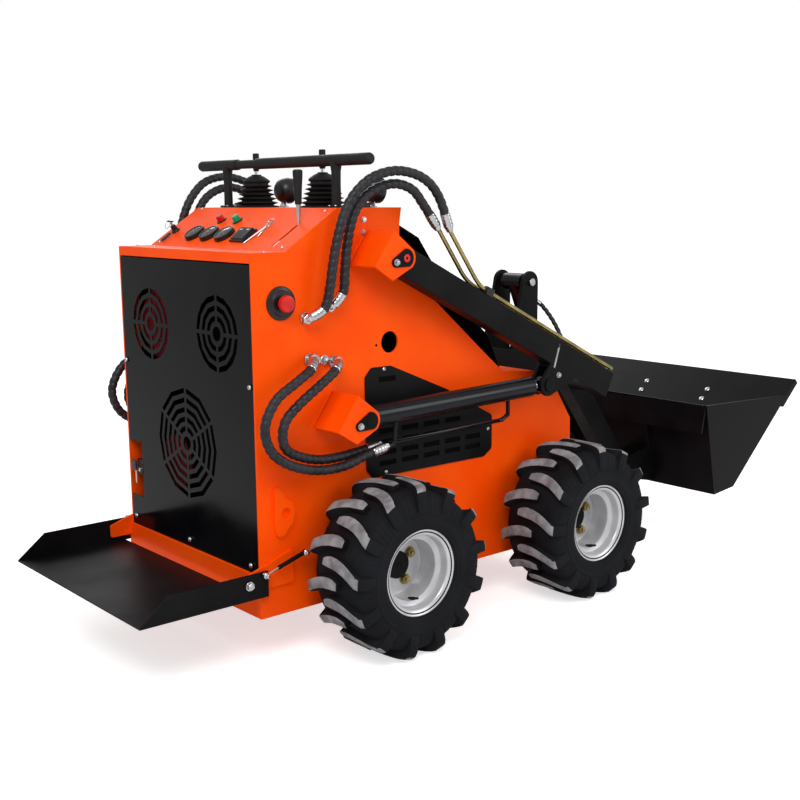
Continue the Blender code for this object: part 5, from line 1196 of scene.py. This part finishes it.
class LOADER_OT_instruments(bpy.types.Operator):
    """Gauges, buttons, key, rocker switch, throttle and the stop knob"""
    bl_idname = "loader.instruments"
    bl_label = "Instruments"

    def execute(self, context):
        mesh = bmesh.new()
        black, red, green, ink, glass, bright, rubber = range(7)
        for y_share in (0.4955, 0.2657, 0.0388):
            seat = slope_point(0.30, SIDE_Y * y_share)
            turned(mesh, ((-0.001, 0.0310), (0.0015, 0.0310), (0.0030, 0.0302), (0.0090, 0.0300),
                          (0.0118, 0.0290), (0.0125, 0.0270), (0.0122, 0.0245), (0.0098, 0.0232)),
                   seat, SLOPE_UP, 48, black)
            turned(mesh, ((0.0096, 0.0233), (0.0108, 0.0233), (0.0116, 0.0150), (0.0120, 0)),
                   seat, SLOPE_UP, 40, glass)
            self.face_marks(mesh, seat + SLOPE_UP * 0.0099, ink)
        for y_share, colour in ((0.3582, red), (0.1164, green)):
            seat = slope_point(0.66, SIDE_Y * y_share)
            turned(mesh, ((-0.001, 0.0150), (0.0020, 0.0150), (0.0028, 0.0142), (0.0030, 0.0105)),
                   seat, SLOPE_UP, 32, black)
            turned(mesh, ((0.0025, 0.0105), (0.0150, 0.0100), (0.0172, 0.0085), (0.0180, 0)),
                   seat, SLOPE_UP, 28, colour)
        self.key(mesh, slope_point(0.37, SIDE_Y * 0.8746), bright, black)
        seat = slope_point(0.30, SIDE_Y * -0.2328)
        pitch = math.atan2(-SLOPE_ALONG.z, SLOPE_ALONG.x)
        block(mesh, seat + SLOPE_UP * 0.0030, (0.056, 0.066, 0.008), pitch, black, 0.002)
        pressed = pitch - 0.10
        block(mesh, seat + SLOPE_UP * 0.0080, (0.046, 0.026, 0.008), pressed, black, 0.002)
        for shift in (-0.0155, 0.0155):
            half = seat + Vector((0, shift, 0))
            block(mesh, half + SLOPE_UP * 0.0080, (0.046, 0.027, 0.008), pressed, black, 0.002)
            block(mesh, half + SLOPE_UP * 0.0130 + SLOPE_ALONG * 0.013, (0.0035, 0.012, 0.0008), pressed,
                  ink, 0.0002)
        self.latch(mesh, bright)
        self.throttle(mesh, bright, rubber)
        piece("instruments", mesh, ("moulded_black_plastic", "red_plastic", "green_plastic", "dial_ink",
                                    "lens_glass", "zinc_plated_steel", "boot_rubber"), "chassis")
        self.stop_knob()
        return {"FINISHED"}

    def face_marks(self, mesh, centre, ink):
        """Graduations and a pointer on a gauge's face."""
        across = Vector((0, 1, 0))
        for step in range(9):
            turn = math.radians(-30 + 30 * step)
            way = across * math.cos(turn) + SLOPE_ALONG * math.sin(turn)
            long = 0.005 if step % 2 == 0 else 0.003
            tube(mesh, [centre + way * 0.0212, centre + way * (0.0212 - long)], 0.00045, 4, ink)
        way = across * math.cos(0.6) + SLOPE_ALONG * math.sin(0.6)
        tube(mesh, [centre - way * 0.003, centre + way * 0.015], [0.0008, 0.0003], 4, ink)

    def key(self, mesh, seat, bright, black):
        """The ignition key in its lock, with its fob hanging down the slope."""
        turned(mesh, ((-0.001, 0.0130), (0.0030, 0.0130), (0.0045, 0.0112), (0.0060, 0.0108)),
               seat, SLOPE_UP, 28, black)
        turned(mesh, ((0.0055, 0.0085), (0.0190, 0.0080), (0.0200, 0.0060)),
               seat, SLOPE_UP, 24, black)
        turned(mesh, ((0.0195, 0.0030), (0.0290, 0.0030)), seat, SLOPE_UP, 12, bright)
        block(mesh, seat + SLOPE_UP * 0.033, (0.010, 0.026, 0.004), 0.0, black, 0.0015)
        ring = []
        centre = seat + SLOPE_UP * 0.030 - SLOPE_ALONG * 0.011
        for step in range(21):
            turn = 2 * math.pi * step / 20
            ring.append(centre + SLOPE_ALONG * (0.010 * math.cos(turn)) + UP * (0.010 * math.sin(turn)))
        tube(mesh, ring, 0.0008, 6, bright)
        fob = seat - SLOPE_ALONG * 0.036 + SLOPE_UP * 0.006
        block(mesh, fob, (0.036, 0.014, 0.004), -0.62, black, 0.0015)

    def latch(self, mesh, bright):
        """The bent wire latch beside the rocker switch."""
        corners = [slope_point(share, y, rise) for share, y, rise in (
            (0.14, -0.118, 0.0015), (0.48, -0.142, 0.006), (0.60, -0.140, 0.012), (0.62, -0.158, 0.014),
            (0.46, -0.166, 0.012), (0.40, -0.150, 0.006), (0.30, -0.146, 0.0015))]
        tube(mesh, bent_path(corners, 0.006, 5), 0.0022, 10, bright)
        turned(mesh, ((-0.001, 0.006), (0.0015, 0.006), (0.002, 0.005)),
               slope_point(0.14, -0.118), SLOPE_UP, 16, bright)

    def throttle(self, mesh, bright, rubber):
        """The throttle lever: a plated rod out of its slot and a tapered grip."""
        foot = slope_point(0.62, SIDE_Y * -0.7612)
        turned(mesh, ((-0.004, 0.0040), (0.020, 0.0042), (0.028, 0.0058), (0.052, 0.0062)),
               foot, UP, 16, bright)
        turned(mesh, ((0.048, 0.0078), (0.052, 0.0088), (0.090, 0.0104), (0.118, 0.0124),
                      (0.130, 0.0128), (0.1335, 0.0108), (0.1350, 0.0060)), foot, UP, 24, rubber)

    def stop_knob(self):
        mesh = bmesh.new()
        seat = Vector((STOP_KNOB[0], -SIDE_Y, STOP_KNOB[1]))
        way = Vector((0, -1, 0))
        turned(mesh, ((-0.001, 0.0420), (0.0030, 0.0420), (0.0045, 0.0408), (0.0065, 0.0330),
                      (0.0115, 0.0300), (0.0120, 0.0290)), seat, way, 56, 0)
        turned(mesh, ((0.0110, 0.0150), (0.0190, 0.0150), (0.0200, 0.0205), (0.0235, 0.0210),
                      (0.0310, 0.0206), (0.0334, 0.0190), (0.0340, 0.0160)), seat, way, 48, 1)
        piece("stop_knob", mesh, ("moulded_black_plastic", "red_plastic"), "chassis")


class LOADER_OT_controls(bpy.types.Operator):
    """Levers in their bellows, the hand bar with its grips, and the work lamps"""
    bl_idname = "loader.controls"
    bl_label = "Levers, hand bar and lamps"

    def execute(self, context):
        for side in SIDES:
            self.lever(side)
            self.lamp(side)
        self.hand_bar()
        return {"FINISHED"}

    def lever(self, side):
        node = "control_lever_" + side_name(side)
        mesh = bmesh.new()
        base = Vector((0.349, side * 0.158, BODY_TOP))
        profile = [(0.0003, 0.0625), (0.0030, 0.0628), (0.0045, 0.0600)]
        for step in range(5):
            top = 0.0060 + 0.0118 * step
            wide = 0.0600 - 0.0042 * step
            profile += [(top, wide - 0.0125), (top + 0.0022, wide - 0.0115), (top + 0.0056, wide - 0.0015),
                        (top + 0.0070, wide), (top + 0.0080, wide - 0.0012), (top + 0.0104, wide - 0.0100)]
        profile += [(0.0670, 0.0330), (0.0700, 0.0375), (0.0730, 0.0385), (0.0760, 0.0370), (0.0860, 0.0225),
                    (0.0890, 0.0150), (0.0920, 0.0130)]
        turned(mesh, profile, base, UP, 48, 0)
        turned(mesh, ((0.0900, 0.0050), (0.1080, 0.0050)), base, UP, 16, 1)
        turned(mesh, ((0.1010, 0.0068), (0.1030, 0.0075), (0.1060, 0.0090), (0.1490, 0.0090),
                      (0.1505, 0.0080), (0.1510, 0.0065)), base, UP, 20, 0)
        piece("booted_" + node, mesh, ("boot_rubber", "chromed_steel"), NODES[node]["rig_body"], [node])

    def hand_bar(self):
        mesh = bmesh.new()
        place = Vector((0.317, 0, 1.265))
        half = 0.405
        turned(mesh, ((-half, 0.0085), (-half + 0.004, 0.0132), (-half + 0.009, 0.0150),
                      (-half + 0.20, 0.0150), (0.098, 0.0150), (0.102, 0.0146), (0.106, 0.0120),
                      (0.196, 0.0120), (0.199, 0.0128), (0.202, 0.0150), (0.226, 0.0150),
                      (0.232, 0.0143), (0.238, 0.0150), (half - 0.009, 0.0150),
                      (half - 0.004, 0.0132), (half, 0.0085)),
               place, (0, 1, 0), 32, 0)
        for side in SIDES:
            foot = Vector((place.x, side * 0.259, BODY_TOP))
            turned(mesh, ((0.0003, 0.0240), (0.0040, 0.0240), (0.0050, 0.0225), (0.0052, 0.0125),
                          (0.060, 0.0120), (0.092, 0.0126), (0.100, 0.0140), (0.108, 0.0148), (0.116, 0.0149),
                          (0.120, 0.0140)), foot, UP, 24, 0)
            for turn in (45, 135, 225, 315):
                away = Vector((math.cos(math.radians(turn)), math.sin(math.radians(turn)), 0)) * 0.0185
                button_screw(mesh, foot + away + UP * 0.0046, UP, 0.0042, 1)
        piece("gripped_hand_bar", mesh, ("boot_rubber", "zinc_plated_steel"), NODES["hand_bar"]["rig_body"],
              ["hand_bar"])

    def lamp(self, side):
        node = "work_lamp_" + side_name(side)
        mesh = bmesh.new()
        foot = Vector((0.476, side * 0.207, BODY_TOP))
        centre = foot + UP * 0.048
        back = centre - Vector((0.0225, 0, 0))
        turned(mesh, ((0.0, 0.0170), (0.0030, 0.0235), (0.0100, 0.0310), (0.0200, 0.0355),
                      (0.0300, 0.0372), (0.0310, 0.0380), (0.0440, 0.0380), (0.0450, 0.0370),
                      (0.0450, 0.0345), (0.0420, 0.0338), (0.0360, 0.0330)), back, (1, 0, 0), 48, 0)
        turned(mesh, ((0.0352, 0.0335), (0.0405, 0.0335), (0.0430, 0.0300), (0.0436, 0.0200),
                      (0.0438, 0)), back, (1, 0, 0), 40, 1)
        for turn in range(0, 360, 30):
            way = Vector((0, math.cos(math.radians(turn)), math.sin(math.radians(turn))))
            tube(mesh, [back + Vector((0.008, 0, 0)) + way * 0.026,
                        back + Vector((0.026, 0, 0)) + way * 0.0355], 0.0016, 6, 0)
        turned(mesh, ((0.0003, 0.0140), (0.0025, 0.0140), (0.0032, 0.0130)), foot, UP, 20, 2)
        block(mesh, foot + Vector((0.002, 0, 0.008)), (0.004, 0.022, 0.016), 0.0, 2, 0.001)
        tube(mesh, bent_path([foot + Vector((0, 0, 0.002)), foot + Vector((-0.006, 0, 0.012)),
                              centre - Vector((0.002, 0, 0.034))], 0.004, 4), 0.0042, 10, 2)
        hex_bolt(mesh, foot + UP * 0.003 + Vector((-0.009, 0, 0)), UP, 0.008, 2)
        piece("lensed_" + node, mesh, ("moulded_black_plastic", "lamp_reflector", "zinc_plated_steel"),
              NODES[node]["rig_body"], [node])


# Keepers, fasteners and welds

def keeper_outline(pin):
    """A pin keeper: a round head about the pin and a small tail behind it."""
    head = Vector((pin.x, pin.z))
    tail = head + Vector((-0.034, -0.010))
    lean = math.degrees(math.atan2(-0.010, -0.034))
    return arc(head, 0.024, lean - 180 - 80, lean - 180 + 80, 14) + arc(tail, 0.0125, lean - 80, lean + 80, 8)


class LOADER_OT_fasteners(bpy.types.Operator):
    """Pin keepers, bolts, screws and weld beads"""
    bl_idname = "loader.fasteners"
    bl_label = "Fasteners and welds"

    def execute(self, context):
        for side in SIDES:
            self.keepers(side)
            self.plate_screws(side)
            self.arm_parts(side)
        self.rear_screws()
        self.bucket_bolts()
        self.platform_bolts()
        return {"FINISHED"}

    def keepers(self, side):
        mesh = bmesh.new()
        for pin, marked in ((ARM_PIN, True), (LIFT_BASE, False)):
            low, high = span(side, BRACKET_Y + 0.0002, BRACKET_Y + 0.0042)
            slab(mesh, keeper_outline(pin), low, high, "Y", 0, 0.0008, 2)
            face = side * (BRACKET_Y + 0.0042)
            hex_bolt(mesh, (pin.x - 0.033, face, pin.z - 0.0097), (0, side, 0), 0.0125, 1)
            end = (pin.x, face, pin.z)
            turned(mesh, ((-0.001, 0.0145), (0.0008, 0.0145), (0.0014, 0.0138)),
                   end, (0, side, 0), 28, 0)
            if marked:
                turned(mesh, ((0.0010, 0.0035), (0.0010, 0.0105), (0.0017, 0.0100), (0.0017, 0.0040)),
                       end, (0, side, 0), 24, 2, ring=True)
        piece("pin_keepers_" + side_name(side), mesh,
              ("black_powder_coat", "zinc_plated_steel", "red_plastic"), "chassis")

    def plate_screws(self, side):
        mesh = bmesh.new()
        way = Vector((0, side, 0))
        for x, z in ((0.405, 0.724), (0.793, 0.512), (0.409, 0.444)):
            button_screw(mesh, (x, side * (SIDE_Y + 0.0032), z), way, 0.0062)
        for x, z in ((0.3442, 1.115), (0.3432, 1.082)):
            hex_bolt(mesh, (x, side * SIDE_Y, z), way, 0.011)
        # A flush disc of near-black on the plate: painted shade of a small hole.
        turned(mesh, ((-0.001, 0.0036), (0.0002, 0.0036)), (0.382, side * SIDE_Y, 0.789), way, 16, 3)
        for low, high in (((0.2948, 1.0048), (0.3601, 1.0967)), ((0.1689, 0.5959), (0.2331, 0.6865))):
            ends = [Vector((x, side * SIDE_Y, z)) for x, z in (low, high)]
            weld_bead(mesh, ends, 0.0034, 1)
        block(mesh, (0.365, side * 0.300, BODY_TOP + 0.0045), (0.052, 0.014, 0.009), 0.0, 2, 0.0015)
        block(mesh, (0.382, side * 0.300, BODY_TOP + 0.0100), (0.030, 0.016, 0.006), 0.0, 2, 0.0015)
        piece("plate_screws_" + side_name(side), mesh,
              ("zinc_plated_steel", "orange_powder_coat", "moulded_black_plastic", "painted_shade_backing"), "chassis")

    def arm_parts(self, side):
        mesh = bmesh.new()
        way = Vector((0, side, 0))
        outside = side * (ARM_Y + 0.025)
        hex_bolt(mesh, (1.001, outside, 0.657), way, 0.0125, 1)
        turned(mesh, ((-0.001, 0.0190), (0.0040, 0.0190), (0.0050, 0.0178)),
               at(ROD_PIN, outside), way, 32, 0)
        tower = Vector((TOWER_PIN.x, side * 0.0750, TOWER_PIN.z))
        turned(mesh, ((-0.001, 0.0125), (0.0030, 0.0125), (0.0040, 0.0115), (0.0040, 0.0040),
                      (0.0030, 0)), tower, way, 28, 1)
        # The elbow's weld bead takes bright zinc: a painted highlight for the bright seam on the painted arm.
        weld_bead(mesh, [Vector((1.0045, outside, 0.7480)), Vector((0.9930, outside, 0.7130)),
                         Vector((0.9820, outside, 0.6790))], 0.0032, 1)
        piece("arm_fasteners_" + side_name(side), mesh, ("black_powder_coat", "zinc_plated_steel"), "boom")

    def rear_screws(self):
        mesh = bmesh.new()
        back = Vector((-1, 0, 0))
        for y, z in ((0.318, 0.722), (-0.318, 0.716), (0.300, 0.268), (0.0, 0.262), (-0.300, 0.260)):
            button_screw(mesh, (-0.0035, y, z), back, 0.0068)
        for share, y in ((0.09, 0.310), (0.09, -0.300), (0.97, 0.305), (0.93, -0.300)):
            button_screw(mesh, slope_point(share, y), SLOPE_UP, 0.0055)
        for y in (0.318, -0.318, 0.22):
            button_screw(mesh, (0.050, y, 1.0412), UP, 0.0050)
        piece("rear_screws", mesh, ("zinc_plated_steel",), "chassis")
        mesh = bmesh.new()
        lock = Vector((0.012, 0.268, 0.410))
        block(mesh, lock + Vector((0.010, 0.030, 0)), (0.010, 0.050, 0.044), 0.0, 1, 0.003)
        turned(mesh, ((-0.004, 0.015), (0.012, 0.015), (0.014, 0.013)), lock, back, 28, 1)
        turned(mesh, ((0.013, 0.006), (0.017, 0.006)), lock, back, 16, 0)
        block(mesh, lock + Vector((-0.020, 0.024, 0.012)), (0.005, 0.026, 0.030), 0.0, 1, 0.002)
        block(mesh, lock + Vector((-0.020, 0.014, -0.022)), (0.0016, 0.007, 0.036), 0.0, 0, 0.0005)
        piece("battery_switch", mesh, ("zinc_plated_steel", "moulded_black_plastic"), "chassis")

    def bucket_bolts(self):
        mesh = bmesh.new()
        for y in (-0.270, 0.0, 0.270):
            for x, z in ((1.9672, 0.4912), (1.9342, 0.4610)):
                turned(mesh, ((-0.002, 0.0100), (0.0012, 0.0096), (0.0030, 0.0074), (0.0040, 0.0040),
                              (0.0043, 0)), (x, y, z), (-0.6753, 0, 0.7376), 24)
        tube(mesh, [(1.5300, y / 10, 0.5165) for y in (-5.66, 0, 5.66)], 0.0060, 16, 1)
        piece("bucket_bolts_and_bend", mesh, ("zinc_plated_steel", "cylinder_enamel"),
              NODES["bucket"]["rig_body"])

    def stud(self, mesh, seat, side):
        """The ball stud that a gas strut's end turns on."""
        turned(mesh, ((-0.004, 0.0072), (0.0010, 0.0078), (0.0030, 0.0062), (0.0036, 0.0045),
                      (0.0060, 0.0060), (0.0085, 0.0052), (0.0098, 0.0030), (0.0100, 0)),
               seat, (0, side, 0), 24)

    def platform_bolts(self):
        strut_face = max(abs(corner.y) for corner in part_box("strut_barrel_left"))
        platform_face = max(abs(corner.y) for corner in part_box("platform"))
        mesh = bmesh.new()
        for side in SIDES:
            self.stud(mesh, (0.122, side * strut_face, 0.284), side)
        piece("strut_base_studs", mesh, ("zinc_plated_steel",), "chassis")
        mesh = bmesh.new()
        for side in SIDES:
            hex_bolt(mesh, (-0.043, side * platform_face, 0.228), (0, side, 0), 0.0165)
            self.stud(mesh, (0.0, side * strut_face, 0.248), side)
        piece("platform_bolts", mesh, ("zinc_plated_steel",), NODES["platform"]["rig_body"])


# Studio

FLOOR_SIZE = 30.0
# The camera's place in metres, its turn, drop and roll in degrees, its lens in millimetres
CAMERA_PLACE = (-1.5215, -2.6784, 1.1606)
CAMERA_YAW = 49.13
CAMERA_DROP = 10.74
CAMERA_ROLL = -0.28
CAMERA_LENS = 51.98
CAMERA_SHIFT = (-0.0154, 0.0253)


class LOADER_OT_stage(bpy.types.Operator):
    """Floor, lights, world and the camera at the photograph's view"""
    bl_idname = "loader.stage"
    bl_label = "Studio"

    def execute(self, context):
        scene = context.scene
        settings = scene.loader_stage
        scene.view_settings.view_transform = "Standard"
        self.floor(scene, settings)
        world = bpy.data.worlds.new("studio_sky")
        world.use_nodes = True
        scene.world = world
        sky = world.node_tree.nodes["Background"]
        strength = add_node(world, "ShaderNodeMix", {"data_type": "FLOAT"},
                            {0: self.seen(world), 2: settings.sky_strength, 3: 1.0})
        sky.inputs["Color"].default_value = linear("#FFFFFF")
        world.node_tree.links.new(strength.outputs[0], sky.inputs["Strength"])
        for name, place, target, size, power in (
            ("key_light", (-2.6, -2.4, 3.6), (0.0, 0.0, 0.5), 2.4, settings.key_power),
            ("side_light", (2.4, -3.6, 2.2), (0.2, 0.0, 0.5), 2.0, settings.key_power * 0.45),
            ("back_light", (1.5, 3.4, 3.2), (0.0, 0.0, 0.6), 2.4, settings.key_power * 0.5),
        ):
            lamp = bpy.data.lights.new(name, "AREA")
            lamp.shape = "DISK"
            lamp.size = size
            lamp.energy = power
            item = bpy.data.objects.new(name, lamp)
            item.location = place
            item.rotation_euler = (Vector(target) - Vector(place)).to_track_quat("-Z", "Y").to_euler()
            scene.collection.objects.link(item)
        camera_at_photo(scene)
        return {"FINISHED"}

    def seen(self, owner):
        """One for the rays that show the backdrop itself, zero for the rays that light the loader."""
        rays = add_node(owner, "ShaderNodeLightPath")
        either = add_node(owner, "ShaderNodeMath", {"operation": "MAXIMUM"},
                          {0: rays.outputs["Is Camera Ray"], 1: rays.outputs["Is Transmission Ray"]})
        return either.outputs["Value"]

    def floor(self, scene, settings):
        mesh = bmesh.new()
        bmesh.ops.create_grid(mesh, x_segments=1, y_segments=1, size=FLOOR_SIZE)
        data = bpy.data.meshes.new("studio_floor")
        mesh.to_mesh(data)
        mesh.free()
        item = bpy.data.objects.new("studio_floor", data)
        scene.collection.objects.link(item)
        item.location.z = -0.0005
        white, shader = finish("studio_floor", "#F4F4F4", 0.9, Specular_IOR_Level=0.0)
        glow = add_node(white, "ShaderNodeMath", {"operation": "MULTIPLY"},
                        {0: self.seen(white), 1: settings.floor_glow})
        shader.inputs["Emission Color"].default_value = linear("#FFFFFF")
        link(white, glow.outputs["Value"], shader.inputs["Emission Strength"])
        data.materials.append(white)


def camera_at_photo(scene):
    """Sets the camera where the photograph was taken, in degrees and millimetres."""
    yaw = math.radians(CAMERA_YAW)
    drop = math.radians(CAMERA_DROP)
    roll = math.radians(CAMERA_ROLL)
    forward = Vector((math.cos(yaw) * math.cos(drop), math.sin(yaw) * math.cos(drop), -math.sin(drop)))
    level = Vector((math.sin(yaw), -math.cos(yaw), 0))
    upright = level.cross(forward)
    right = level * math.cos(roll) + upright * math.sin(roll)
    up = upright * math.cos(roll) - level * math.sin(roll)
    camera = bpy.data.cameras.new("photo_camera")
    camera.sensor_width = 36.0
    camera.lens = CAMERA_LENS
    camera.shift_x, camera.shift_y = CAMERA_SHIFT
    item = bpy.data.objects.new("photo_camera", camera)
    turn = Matrix((right, up, -forward)).transposed().to_4x4()
    item.matrix_world = Matrix.Translation(Vector(CAMERA_PLACE) + SHIFT) @ turn
    scene.collection.objects.link(item)
    scene.camera = item


class LOADER_PT_panel(bpy.types.Panel):
    """The loader's sizes and the operators that build it"""
    bl_idname = "LOADER_PT_panel"
    bl_label = "Skid steer loader"
    bl_space_type = "VIEW_3D"
    bl_region_type = "UI"
    bl_category = "Loader"

    def draw(self, context):
        for name, group in GROUPS:
            box = self.layout.box()
            settings = getattr(context.scene, name)
            for label in group.__annotations__:
                box.prop(settings, label)
        for maker in OPERATORS:
            self.layout.operator(maker.bl_idname)


OPERATORS = (LOADER_OT_plates, LOADER_OT_wheels, LOADER_OT_hoses, LOADER_OT_pipes, LOADER_OT_cylinders,
             LOADER_OT_instruments, LOADER_OT_controls, LOADER_OT_fasteners, LOADER_OT_stage)
GROUPS = (("loader_wheels", LoaderWheelSizes), ("loader_hoses", LoaderHoseSizes),
          ("loader_colours", LoaderColours), ("loader_stage", LoaderStageSettings))


def register():
    for name, group in GROUPS:
        bpy.utils.register_class(group)
        setattr(bpy.types.Scene, name, PointerProperty(type=group))
    for maker in OPERATORS:
        bpy.utils.register_class(maker)
    bpy.utils.register_class(LOADER_PT_panel)


def unregister():
    bpy.utils.unregister_class(LOADER_PT_panel)
    for maker in reversed(OPERATORS):
        bpy.utils.unregister_class(maker)
    for name, group in reversed(GROUPS):
        delattr(bpy.types.Scene, name)
        bpy.utils.unregister_class(group)


def main():
    register()
    bpy.ops.loader.plates()
    bpy.ops.loader.wheels()
    bpy.ops.loader.hoses()
    bpy.ops.loader.pipes()
    bpy.ops.loader.cylinders()
    bpy.ops.loader.instruments()
    bpy.ops.loader.controls()
    bpy.ops.loader.fasteners()
    bpy.ops.loader.stage()


if __name__ == "__main__":
    main()
